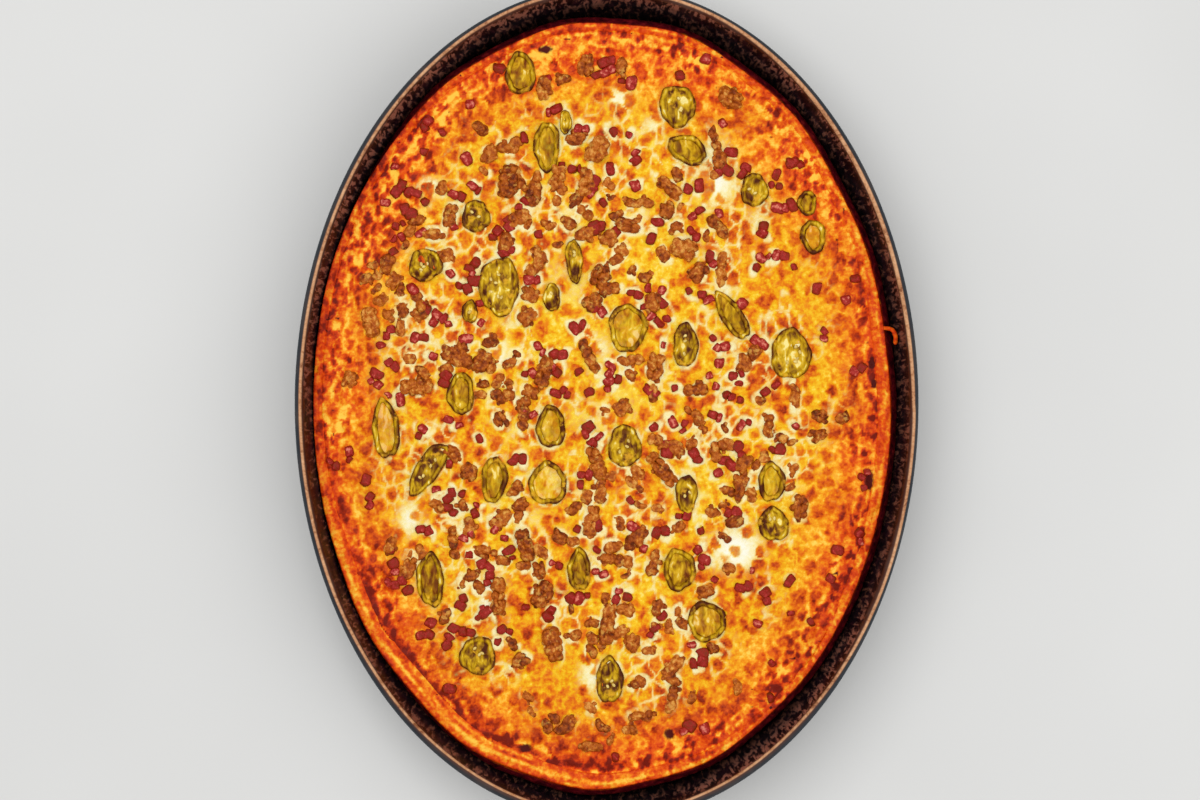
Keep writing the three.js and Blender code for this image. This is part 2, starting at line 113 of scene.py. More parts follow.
# Pepper slices: middle x, middle y, width, length, turn in degrees, open or full, and how pale
# they are inside, below 0 browned and above 0 cheesy.
PEPPER_FLESH = 2.4
PEPPER_FLESH_SHARE = 0.2
PEPPER_LOBE = 0.05
PEPPER_TILT = 0.6
PEPPER_SEED = 3
PEPPERS = [
    (-42.5, 163, 15, 21, 0, "open", 0), (35, 147, 18, 21, 8, "full", 0.25),
    (40, 125.5, 20, 14, -25, "open", 0), (-29.5, 127, 13, 25, 0, "open", 0.1),
    (-20.2, 139, 6, 12, 0, "full", 0.35), (73, 105.5, 13.5, 16.5, 0, "full", -0.05),
    (99, 99, 9.5, 12.5, 0, "open", -0.25), (102, 82.5, 12.5, 17, 6, "open", 0.4),
    (-64.5, 92.5, 14, 16, 0, "full", -0.3), (-89.5, 68.5, 17, 16, 30, "full", -0.3),
    (-53, 58, 20, 29, 0, "full", 0.1), (-67.5, 45.5, 8, 11.5, 0, "full", 0),
    (-27, 52.5, 8.5, 14, 0, "full", 0.1), (-16, 70.5, 8.5, 22, 4, "full", 0.15),
    (10.5, 37.5, 19, 24, 0, "open", 0.25), (39, 29, 12.5, 22, 0, "full", -0.15),
    (62, 43.5, 11, 27, 33, "open", -0.05), (91, 24.5, 20, 25, 0, "full", 0.3),
    (-109, -12.5, 13.5, 29.5, 5, "open", 0.45), (-88, -32, 12, 30.5, -34, "full", -0.25),
    (-72, 5, 13.5, 21, 0, "open", 0.05), (-27.5, -11.5, 14.5, 21, 0, "open", 0.25),
    (-55.5, -37.5, 13, 23, -5, "open", 0.1), (-29, -39.5, 19, 21.5, 0, "open", 0.5),
    (9, -21, 16.5, 21, 0, "full", 0.1), (39.5, -44.5, 11, 19, 0, "full", -0.1),
    (81.5, -38.5, 13.5, 19.5, 0, "open", 0.25), (82.5, -59.5, 15, 17, 20, "full", -0.1),
    (-13.5, -82, 11.5, 21, 0, "open", 0), (36, -82, 16, 21, 0, "open", 0),
    (49.5, -107.5, 19, 20, 20, "open", 0.15), (1.5, -136.5, 13.5, 23, 0, "full", -0.15),
    (-63.5, -124.5, 18, 19, 0, "full", -0.2), (-87, -87, 13.5, 27, 4, "open", -0.3),
]

# A slice's section from its skin inwards: inset from the outline as a share of the flesh, height
# above the cheese, and shade. An open slice ends in an inner side, a full one in a web.
PEPPER_WALL = [
    (0.00, -0.6, 0.22), (-0.02, 0.6, 0.22), (0.02, 1.5, 0.24), (0.16, 2.1, 0.28),
    (0.34, 2.4, 0.44), (0.58, 2.35, 0.60), (0.84, 2.05, 0.58),
]
PEPPER_INNER_SIDE = [(1.04, 1.4, 0.46), (1.16, 0.5, 0.38), (1.22, -0.6, 0.36)]
PEPPER_WEB = [(1.02, 1.55, 0.42), (1.25, 1.25, 0.40), (1.55, 1.35, 0.48), (2.0, 1.5, 0.54)]

# Seeds in the full slices: one to so many square millimetres, and their clearance from the skin.
AREA_OF_A_SEED = 90
SEED_CLEAR = 2.5
SEED_SIZE = (2.2, 1.5, 0.8)
SEED_RAISED = 1.75

# Lumps of sausage: middle x, middle y, length, breadth, turn in degrees.
SAUSAGE_SUNK = 1.6
SAUSAGE_RISE_SHARE = 0.3
SAUSAGE_HEIGHT = 7.5
SAUSAGES = [
    (61, 151, 13, 9, -35), (53.5, 129.5, 17, 5.5, -75), (-48.5, 110, 17, 9, 80),
    (-116.5, 40.5, 16, 8, -75), (-4.5, 125.5, 13, 10, 60), (16, 99.5, 15, 6, 0),
    (31, 107, 15, 7, -38), (55, 88, 15, 6.5, -50), (38.5, 76.5, 13, 10, -20),
    (57, 66.5, 18, 6, 88), (-9, 24, 19, 6.5, -64), (-3, 63, 12, 9, 70), (24, 18, 15, 8, 85),
    (-94, 8.5, 16, 8.5, 5), (93, 3.5, 13, 5.5, 90), (27.5, -32.5, 20, 7, -50),
    (-5, -29, 16, 7.5, -72), (-75.5, -68.5, 17, 6, -85), (4.5, -77, 17.5, 6.5, -8),
    (-40, -70, 17, 8, -75), (-53.5, -95, 20.5, 7, 88), (-31.5, -94, 13.5, 9, 60),
    (-26.5, -119, 18, 9, -80),
]

# Smaller lumps of sausage, which only the visual model has.
SMALL_SAUSAGE_HEIGHT = 0.66
SMALL_SAUSAGE_RAISED = 0.9
SMALL_SAUSAGES = [
    (-47, 110, 15, 8, 85), (-24, 112, 13, 7.5, 90), (10.6, 87.8, 13, 7, -20), (29.4, 95, 8, 8, 0),
    (45.5, 65, 12, 8, 50), (1, 82, 9.5, 8, 60), (-11, 84, 10, 7, 10), (-33, 71, 10, 7, 80),
    (1, 57, 11.5, 7, 10), (-7.5, 50, 10, 8.5, 30), (23, 50.5, 11, 8.5, 70),
    (-38, 54, 9.5, 7, -20), (-39.5, 43, 10, 8.5, 50), (-50, 80, 11, 7, 80), (-43, 92, 12, 8, 20),
    (-36, 104, 14, 7.5, 80), (-10, 109, 15, 8, 85), (56, 120, 10, 7, 80), (-62, 21, 12, 8.5, 60),
    (-71.5, 21, 11, 7.5, 0), (-31, 16, 16, 8, 75), (-41, -5, 16, 6.5, 85), (12.5, 21.5, 12, 6, 5),
    (7.5, -2, 9.5, 8, 40), (23, 5, 9, 6, 85), (43.5, 7, 12, 6.5, 5), (68, 20, 10, 7, 70),
    (25.5, -18.5, 12, 6.5, -25), (34.5, -22, 10, 7, -40), (57.5, -20.5, 12, 6.5, 10),
    (67.5, -29, 11, 7.5, 60), (-3, -43.5, 12, 6.5, 85), (-7.5, -58.5, 17, 7, 80),
    (-44.5, -41.5, 9, 6.5, 60), (-52, -57, 13, 7.5, 40), (-68, -33.5, 9, 8, 0),
    (-68, -61, 11, 6.5, 85), (15.5, -66, 11, 8, 60), (63.5, -58, 10, 7, 10), (66, -40, 10, 7, 70),
    (80, -10.5, 12, 6.5, 85), (96, -51, 13, 7, 85), (23, -79, 12, 6.5, 80), (-31, 156, 12, 7, 85),
    (-21, 160, 9, 6, 10), (-10.5, 167, 12, 7, 75), (7, 166, 9, 6, 80), (-15, 131, 10, 7, 30),
    (-58, 123, 10, 7.5, 60), (-77, 93, 12, 7, 80), (-86, 84, 10, 6.5, -10), (-79, 73, 8.5, 7, 20),
    (-108.5, 69, 10, 8, 60), (-91.5, 48.5, 15, 6, -65), (-127, 12, 9, 7, 80),
    (-107, -70, 9, 6.5, 70), (-98, -82, 11, 7, 60), (0, -112, 15, 7.5, 85), (13, -118, 10, 7, 60),
    (25, -101, 10, 6.5, 80), (34, -129, 10, 7, 50), (33, -141, 12, 6, 80), (-43, -127, 10, 7, 30),
    (-20, -159, 11, 7, 60), (-8, -169, 10, 6.5, 0),
]

# Small toppings of the CAD part. Patches are middle x, middle y, reach in x, reach in y, share.
SPREAD = 1.3
SMALLEST = 0.7
SIZE_RANGE = 0.6
OUTERMOST = 0.84
MOST_TRIES = 20000
SPACING = 6.5
CRUMBS = 36
CRUMB_LENGTH = 7.4
CRUMB_BREADTH = 0.72
CRUMB_HEIGHT = 0.6
CRUMB_CLEAR = 4.8
CRUMB_SEED = 11
CRUMB_PATCHES = [
    (-25, 100, 34, 26, 5), (30, 95, 28, 26, 4), (-100, 55, 18, 36, 4), (-55, 15, 42, 16, 5),
    (45, -30, 45, 24, 6), (5, -55, 16, 36, 4), (-60, -75, 36, 28, 5), (10, -115, 40, 24, 7),
    (80, -15, 22, 28, 3), (-10, -160, 30, 10, 2),
]
BITS = 80
BIT_LENGTH = 6.6
BIT_BREADTH = 0.58
BIT_HEIGHT = 3.4
BIT_CLEAR = 4.2
BIT_SEED = 5
BIT_PATCHES = [
    (0, 10, 60, 62, 10), (62, 0, 34, 48, 6), (15, -92, 50, 30, 5), (-10, 105, 50, 34, 6),
    (-88, 30, 30, 52, 4), (-72, -80, 34, 44, 4), (62, 105, 40, 34, 3),
]

# More of both between them, and more bacon close to the crust: seed, how many, patches, clearance
# from the larger toppings, spacing, and how far out as a share of the pan.
OUTER_PATCHES = [
    (-102, 104, 14, 16, 6), (-62, 148, 26, 16, 7), (20, 160, 34, 10, 5), (92, 104, 16, 30, 4),
    (124, 20, 8, 40, 3), (118, -60, 10, 30, 4), (88, -118, 20, 22, 4), (30, -162, 40, 12, 5),
    (-60, -140, 22, 18, 4), (-96, -96, 14, 24, 6), (-124, -8, 8, 40, 4),
]
MORE_CRUMBS = (31, 120, CRUMB_PATCHES, 2.4, 4.9)
MORE_BITS = (25, 120, BIT_PATCHES, 1.0, 4.2)
OUTER_BITS = (45, 46, OUTER_PATCHES, 1.0, 4.4, 0.90)

# A share of the bits has a second one beside it, turned by up to so many radians.
BIT_PAIRED = 0.5
BIT_APART = 3.9
PAIR_CLEAR = 0.5
PAIR_TURNED = 2

# How far the middles of bits and crumbs lie above the cheese. Sausage is made of grains so wide,
# with loose ones round it, one to so many millimetres of length and breadth.
BIT_RAISED = 0.55
CRUMB_RAISED = 0.3
GRAIN = 4.4
LOOSE_GRAIN = 2.9
LOOSE_SPACING = 7.0

# Burnt specks on the crust: middle x, middle y, reach in x, reach in y.
BURNT = [
    (131, 20, 2.2, 4.5), (132, 10, 2.0, 3.5), (129.5, -38, 3.0, 6.5), (-40, -170, 4.5, 2.5),
    (31, -163, 3.5, 3.5), (-30, 175, 4.5, 2.5),
]

# Places where white melted cheese shows: middle x, middle y, reach in x, reach in y, strength.
MELTED = [
    (54, 113, 12, 20, 1.0), (-87, 107, 10, 7, 0.7), (-54, 26, 8, 14, 0.8), (7, 150, 9, 8, 0.8),
    (24, 137, 9, 8, 0.6), (16, 93, 8, 8, 0.6), (58, 56, 6, 14, 0.7), (64, -72, 16, 14, 1.0),
    (-97, -57, 8, 12, 0.8), (-57, -94, 9, 16, 0.9), (-6, -134, 10, 12, 0.8),
    (44, -109, 9, 9, 0.6), (-3, 27, 8, 10, 0.6), (41, 81, 9, 9, 0.6), (0, -5, 26, 20, 0.45),
    (-35, -60, 20, 16, 0.4), (-18, 60, 24, 22, 0.4), (75, 90, 10, 12, 0.5),
]

# Where the rim is baked more or less than elsewhere: direction in degrees, how far inside the
# crust's edge, reach in degrees, reach in millimetres, how much browner.
BAKED = [
    (0, 2, 20, 3, 0.20), (0, 7, 25, 4, -0.12), (0, 36, 24, 9, -0.10), (45, 7, 26, 5, -0.30),
    (90, 2, 24, 3, 0.20), (90, 7, 24, 4, -0.20), (155, 2, 38, 3, 0.30), (135, 22, 24, 8, 0.04),
    (135, 8, 24, 5, -0.30), (135, 15, 22, 5, -0.14), (135, 36, 24, 9, -0.10),
    (180, 2, 20, 3, 0.14), (180, 14, 24, 5, -0.20), (180, 36, 24, 9, 0.07), (225, 2, 20, 3, 0.08),
    (232, 7, 24, 4, -0.16), (272, 7, 24, 4, -0.32), (278, 26, 28, 16, 0.12),
    (315, 2, 24, 3, 0.16), (315, 14, 20, 6, -0.10), (315, 24, 20, 6, -0.08),
]

# The direction in which burnt specks lie densest, and how far round they reach, in degrees.
DENSE_SPECKS = 142
DENSE_REACH = 30

# Colours as displayed, red, green and blue from 0 to 255. Ramps have a place before each.
CHEESE_TONES = [
    (0.00, 238, 214, 104), (0.18, 234, 192, 36), (0.36, 228, 164, 10), (0.52, 222, 128, 8),
    (0.70, 206, 90, 8), (0.86, 178, 58, 6), (1.00, 132, 36, 6),
]
RIM_TONES = [
    (0.00, 246, 192, 66), (0.20, 238, 142, 24), (0.40, 222, 86, 8), (0.58, 202, 57, 5),
    (0.76, 156, 36, 5), (1.00, 112, 21, 5),
]
# The crust's side is dark maroon: its own browning with painted shade.
FLANK_TONES = [(0.30, 44, 2, 10), (0.55, 88, 8, 20), (0.74, 128, 28, 30)]
MELTED_TONES = [(0.3, 232, 206, 100), (0.6, 234, 221, 160), (0.9, 238, 234, 214)]
CHARRED = (74, 12, 8)
PEPPER_SHADES = [
    (0.00, 74, 28, 4), (0.18, 104, 56, 4), (0.36, 136, 94, 4), (0.54, 170, 128, 6),
    (0.72, 198, 156, 14), (0.88, 216, 180, 52), (1.00, 236, 218, 136),
]
CHEESE_ON_PEPPER = (224, 166, 34)
SEED_TONES = [(0.3, 184, 146, 44), (0.7, 232, 208, 124)]
# Bacon's palest stops serve its streaks of fat and a painted highlight on top.
BACON_TONES = [
    (0.05, 104, 42, 4), (0.32, 130, 36, 8), (0.58, 146, 28, 16), (0.80, 170, 46, 40),
    (1.00, 212, 120, 96),
]
SAUSAGE_TONES = [
    (0.00, 92, 34, 4), (0.26, 132, 54, 8), (0.50, 164, 78, 14), (0.74, 190, 104, 28),
    (1.00, 218, 152, 70),
]
CHEESE_ON_SAUSAGE = (222, 166, 74)
# Along the rim's roll from outside in; the bluish grey on its outer side is a painted reflection.
METAL_TONES = [
    (0.00, 38, 39, 43), (0.30, 42, 48, 54), (0.42, 46, 58, 66), (0.64, 40, 40, 44),
    (0.78, 70, 30, 14), (1.00, 56, 20, 10),
]
BLOTCH = (84, 72, 66)
# The line along the rim's top is worn copper with a painted highlight.
WEAR_AND_HIGHLIGHT_TONES = [(0.36, 124, 72, 40), (0.46, 178, 124, 84), (0.60, 206, 158, 118)]
WALL_TONES = [(0.40, 6, 2, 6), (0.52, 18, 6, 12), (0.66, 48, 20, 26)]
DRIP = (132, 82, 62)
GREASE = (142, 94, 78)

# The floor, its colours as linear ones from 0 to 1. Lights are in metres and watts: name, power,
# size, place.
FLOOR_REACH = 3000.0
FLOOR_HEIGHT = -0.05
FLOOR_TONES = [(0.3, 0.62, 0.62, 0.61), (0.7, 0.65, 0.65, 0.64)]
LIGHTS = [("key", 21, 1.6, (-0.5, 0.5, 1.9)), ("fill", 14.5, 2.0, (1.0, -0.4, 1.7))]
LIGHTS_AIM = (0, 0, 0.03)
WORLD_STRENGTH = 0.56

# The photograph looks straight down. These are its size, the pan's middle in it and its scale,
# and the camera's height above the floor in metres.
PHOTO_WIDTH = 1200
PHOTO_HEIGHT = 800
PAN_MIDDLE_X_PX = 606.6
PAN_MIDDLE_Y_PX = 403.8
PX_ACROSS_PAN = 625.6
CAMERA_HEIGHT = 1.371


# ---------------------------------------------------------------- numbers and noise


def smooth(low, high, value):
    """0 at low, 1 at high, and an even curve between."""
    t = np.clip((value - low) / (high - low), 0.0, 1.0)
    return t * t * (3.0 - 2.0 * t)


def make_draw(seed):
    """The CAD part's own repeatable run of numbers from 0 to 1."""
    state = seed
    while True:
        state = (state * 1664525 + 1013904223) % 4294967296
        yield state / 4294967296


def noise2(x, y, cell, seed):
    """Smooth noise from 0 to 1 over a plane, with lumps about a cell wide."""
    table = np.random.default_rng(seed).random((LATTICE, LATTICE))
    u, v = np.asarray(x) / cell, np.asarray(y) / cell
    i, j = np.floor(u).astype(int), np.floor(v).astype(int)
    fu, fv = smooth(0, 1, u - i), smooth(0, 1, v - j)
    value = lambda a, b: table[(i + a) % LATTICE, (j + b) % LATTICE]
    low = value(0, 0) * (1 - fu) + value(1, 0) * fu
    high = value(0, 1) * (1 - fu) + value(1, 1) * fu
    return low * (1 - fv) + high * fv


def noise3(points, cell, seed):
    """Smooth noise from 0 to 1 in space, at each of the points."""
    table = np.random.default_rng(seed).random((SPACE_LATTICE,) * 3)
    scaled = np.asarray(points) / cell
    whole = np.floor(scaled).astype(int)
    part = smooth(0, 1, scaled - whole)
    total = np.zeros(len(scaled))
    for corner in itertools.product((0, 1), repeat=3):
        i, j, k = ((whole + corner) % SPACE_LATTICE).T
        total += np.prod(np.where(corner, part, 1 - part), axis=1) * table[i, j, k]
    return total


def cells2(x, y, cell, seed):
    """Distances to the nearest and second nearest of scattered points, and the nearest's draw."""
    tables = np.random.default_rng(seed).random((3, LATTICE, LATTICE))
    u, v = np.asarray(x) / cell, np.asarray(y) / cell
    i, j = np.floor(u).astype(int), np.floor(v).astype(int)
    first = np.full(u.shape, np.inf)
    second, drawn = first, np.zeros(u.shape)
    for a, b in itertools.product((-1, 0, 1), repeat=2):
        k, m = (i + a) % LATTICE, (j + b) % LATTICE
        away = np.hypot(i + a + tables[0][k, m] - u, j + b + tables[1][k, m] - v)
        closer = away < first
        second = np.where(closer, first, np.minimum(second, away))
        drawn = np.where(closer, tables[2][k, m], drawn)
        first = np.where(closer, away, first)
    return first, second, drawn


# ---------------------------------------------------------------- the pizza's own shape


def wall_inset(height):
    return ROLL + (PAN_HEIGHT - height) * math.tan(WALL_LEAN)


def waves_at(turn, waves):
    return sum(share * np.sin(times * turn + start) for times, start, share in waves)


def lip_gap(turn):
    """The gap between the crust's lip and the pan's wall."""
    right = GAP_TO_THE_RIGHT * np.cos(turn)
    back = GAP_TO_THE_BACK * np.sin(turn)
    ends = GAP_TO_THE_ENDS * np.cos(2 * turn)
    wobble = EDGE_WOBBLE * waves_at(turn, EDGE_WAVES)
    return np.maximum(LEAST_GAP, MEAN_GAP + right + back - ends + wobble)


def crust_inset(turn):
    return wall_inset(LIP_TOP) + lip_gap(turn)


def foot_inset(turn, height):
    return wall_inset(height) + np.maximum(LEAST_GAP, lip_gap(turn) - FLANK_SPREAD)


def bare_width(turn):
    lower_left = np.maximum(0, np.cos(turn - LOWER_LEFT)) ** 3
    right = np.maximum(0, np.cos(turn - RIGHT)) ** 4
    return BARE_LEAST + BARE_LOWER_LEFT * lower_left + BARE_RIGHT * right


def lip_height(turn):
    return LIP_TOP + LIP_UNEVEN * waves_at(turn, LIP_WAVES)


def oval_turn(x, y):
    """The oval's own angle at a place, as the rings of the CAD part use it."""
    return np.arctan2(y / PAN_LENGTH, x / PAN_WIDTH)


def oval_share(x, y):
    """How far out a place lies: 0 in the middle, 1 on the pan's outer edge."""
    return np.hypot(x / (PAN_WIDTH / 2), y / (PAN_LENGTH / 2))


def towards(turn, degrees, low, high):
    """1 in a direction, and 0 where the cosine of the angle from it has fallen to low."""
    return smooth(low, high, np.cos(turn - math.radians(degrees)))


def turned_from(x, y, degrees):
    """How many degrees round the oval a place lies from a direction."""
    return np.abs((np.degrees(oval_turn(x, y)) - degrees + 180) % 360 - 180)


def inset_of(x, y):
    """How far a place lies inside the pan's outer edge, along the ring's own measure."""
    turn = oval_turn(x, y)
    across = np.hypot(PAN_WIDTH / 2 * np.cos(turn), PAN_LENGTH / 2 * np.sin(turn))
    return (1 - oval_share(x, y)) * across


def cheese_height(x, y):
    share = oval_share(x, y)
    dish = CHEESE_MIDDLE + (CHEESE_EDGE - CHEESE_MIDDLE) * (share / CHEESE_EDGE_AT) ** 3
    broad = np.sin(x / BROAD_LUMPS[0] + 1.3) * np.cos(y / BROAD_LUMPS[1] - 0.4)
    small = np.sin((x + y) / SMALL_LUMPS[0]) * np.cos((x - 2 * y) / SMALL_LUMPS[1] + 0.8)
    return dish + CHEESE_LUMPS * (0.6 * broad + 0.4 * small) * (1 - share**4)


def carried(u, v, x, y, turn):
    """A place given along an oval's own axes, in the pan's: x and y are the oval's middle."""
    cos, sin = math.cos(turn), math.sin(turn)
    return x + u * cos - v * sin, y + u * sin + v * cos


def reach_to(x, y, outline, margin=0.0):
    """A place's distance from an oval's middle as a share of the oval, 1 on its outline."""
    middle_x, middle_y, across, along, degrees = outline[:5]
    turn = math.radians(degrees)
    u = (x - middle_x) * math.cos(turn) + (y - middle_y) * math.sin(turn)
    v = (y - middle_y) * math.cos(turn) - (x - middle_x) * math.sin(turn)
    return np.hypot(u / (across / 2 + margin), v / (along / 2 + margin))


def on_topping(x, y, margin):
    return any(reach_to(x, y, row, margin) < 1 for row in PEPPERS + SAUSAGES)


def near(places, x, y, spacing):
    return any(math.hypot(place[0] - x, place[1] - y) < spacing for place in places)


def scatter(seed, count, patches, margin, spacing=SPACING, outermost=OUTERMOST, taken=()):
    """Places (x, y, size, turn) for small toppings, drawn exactly as the CAD part draws them."""
    draw = make_draw(seed)
    shares = sum(patch[4] for patch in patches)
    places = []
    for _ in range(MOST_TRIES):
        if len(places) == count:
            break
        pick = next(draw) * shares
        for patch in patches:
            pick -= patch[4]
            if pick < 0:
                break
        drawn = [next(draw) for _ in range(6)]
        x = patch[0] + patch[2] * SPREAD * (sum(drawn[:3]) - 1.5)
        y = patch[1] + patch[3] * SPREAD * (sum(drawn[3:]) - 1.5)
        size = SMALLEST + SIZE_RANGE * next(draw)
        turn = math.pi * next(draw)
        clear = not near(places, x, y, spacing) and not near(taken, x, y, spacing)
        if oval_share(x, y) < outermost and clear and not on_topping(x, y, margin):
            places.append((x, y, size, turn))
    return places


def small_toppings():
    """The crumbs and bits of the CAD part, followed by the smaller ones between them."""
    crumbs = scatter(CRUMB_SEED, CRUMBS, CRUMB_PATCHES, CRUMB_CLEAR)
    bits = scatter(BIT_SEED, BITS, BIT_PATCHES, BIT_CLEAR)
    bits = [bit for bit in bits if not near(crumbs, bit[0], bit[1], SPACING)]
    crumbs = crumbs + scatter(*MORE_CRUMBS, taken=crumbs + bits + SMALL_SAUSAGES)
    bits = bits + scatter(*MORE_BITS, taken=crumbs + bits + SMALL_SAUSAGES)
    bits = bits + scatter(*OUTER_BITS, taken=crumbs + bits + SMALL_SAUSAGES)
    drawn = np.random.default_rng(BIT_SEED).random((len(bits), 4))
    for (x, y, _, turn), own in zip(list(bits), drawn):
        x, y = carried(BIT_APART, 0, x, y, 2 * math.pi * own[1])
        if own[0] < BIT_PAIRED and not on_topping(x, y, PAIR_CLEAR):
            bits.append((x, y, SMALLEST + SIZE_RANGE * own[2], turn + PAIR_TURNED * own[3]))
    return crumbs, bits


# ---------------------------------------------------------------- meshes


def show(name, data):
    """A new object in the scene."""
    made = bpy.data.objects.new(name, data)
    bpy.context.scene.collection.objects.link(made)
    return made


def mesh_piece(name, points, faces, material, nodes=(), attributes=None):
    """A smooth mesh object from points in millimetres, riding on the part's one body.

    Each face is four corners, and a triangle has one of its corners twice."""
    mesh = bpy.data.meshes.new(name)
    points = np.asarray(points, dtype=np.float64) * MM
    mesh.from_pydata(points.tolist(), [], [list(dict.fromkeys(face)) for face in faces.tolist()])
    mesh.validate()
    for key, values in (attributes or {}).items():
        layer = mesh.attributes.new(key, "FLOAT", "POINT")
        layer.data.foreach_set("value", np.asarray(values, dtype=np.float32))
    mesh.polygons.foreach_set("use_smooth", [True] * len(mesh.polygons))
    mesh.materials.append(material)
    piece = show(name, mesh)
    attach(piece, "root")
    if nodes:
        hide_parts(*nodes)
    return piece


def as_points(x, y, z):
    return np.stack([x, y, z], axis=2).reshape(-1, 3)


def round_turn(steps):
    return np.linspace(0, 2 * math.pi, steps, endpoint=False)


def grid_faces(rows, columns, wrap_rows=False, wrap_columns=False):
    """Quads over a grid of points stored row by row, facing up where columns run left."""
    i = np.arange(rows if wrap_rows else rows - 1)
    j = np.arange(columns if wrap_columns else columns - 1)
    i, j = (a.ravel() for a in np.meshgrid(i, j, indexing="ij"))
    row, below, beside = i * columns, (i + 1) % rows * columns, (j + 1) % columns
    return np.stack([row + j, row + beside, below + beside, below + j], axis=1)


def capped_faces(rows, columns):
    """Quads between stacked rings, and a fan at each end round a point that follows them all."""
    i = np.arange(columns)
    j, last = (i + 1) % columns, (rows - 1) * columns
    low, high = np.full(columns, rows * columns), np.full(columns, rows * columns + 1)
    fans = np.stack([low, j, i, i, high, last + i, last + j, last + j], axis=1).reshape(-1, 4)
    return np.vstack([grid_faces(rows, columns, wrap_columns=True), fans])


def closed_below(points, faces, height):
    """The sheet closed into a solid: a wall down from its edge, and a fan round one middle point.

    The third result names, for each point, the sheet's point that it takes its masks from."""
    edges = np.concatenate([faces[:, [k, (k + 1) % 4]] for k in range(4)])
    _, first, times = np.unique(
        np.sort(edges, axis=1), axis=0, return_index=True, return_counts=True
    )
    near_end, far_end = edges[first[times == 1]].T
    foot = np.unique(near_end)
    below = np.full(len(points), -1)
    below[foot] = len(points) + np.arange(len(foot))
    middle = np.full(len(near_end), len(points) + len(foot))
    wall = np.stack([far_end, near_end, below[near_end], below[far_end]], axis=1)
    floor = np.stack([below[far_end], below[near_end], middle, middle], axis=1)
    source = np.concatenate([np.arange(len(points)), foot, foot[:1]])
    solid = points[source]
    solid[len(points) :, 2] = height
    solid[-1, :2] = 0
    return solid, np.vstack([faces, wall, floor]), source


def joined(parts):
    """One list of points, faces and attributes from many (points, faces, attributes)."""
    points, faces, attributes, start = [], [], {}, 0
    for part_points, part_faces, part_attributes in parts:
        points.append(part_points)
        faces.append(part_faces + start)
        start += len(part_points)
        for key, values in part_attributes.items():
            attributes.setdefault(key, []).append(np.broadcast_to(values, len(part_points)))
    merged = {key: np.concatenate(values) for key, values in attributes.items()}
    return np.concatenate(points), np.concatenate(faces), merged


def lump(rings, sides, squareness):
    """Points and faces of a round or squarish lump of size 1 about the origin."""
    tilt = np.linspace(-math.pi / 2, math.pi / 2, rings + 2)[1:-1]
    tilt, turn = np.meshgrid(tilt, round_turn(sides), indexing="ij")
    power = lambda value: np.sign(value) * np.abs(value) ** squareness
    wide = power(np.cos(tilt))
    points = as_points(wide * power(np.cos(turn)), wide * power(np.sin(turn)), power(np.sin(tilt)))
    return np.vstack([points / 2, [0, 0, -0.5], [0, 0, 0.5]]), capped_faces(rings, sides)


def placed(points, x, y, height, turn):
    """Points turned about the upright axis and carried to a place."""
    x, y = carried(points[:, 0], points[:, 1], x, y, turn)
    return np.stack([x, y, points[:, 2] + height], axis=1)


# ---------------------------------------------------------------- materials


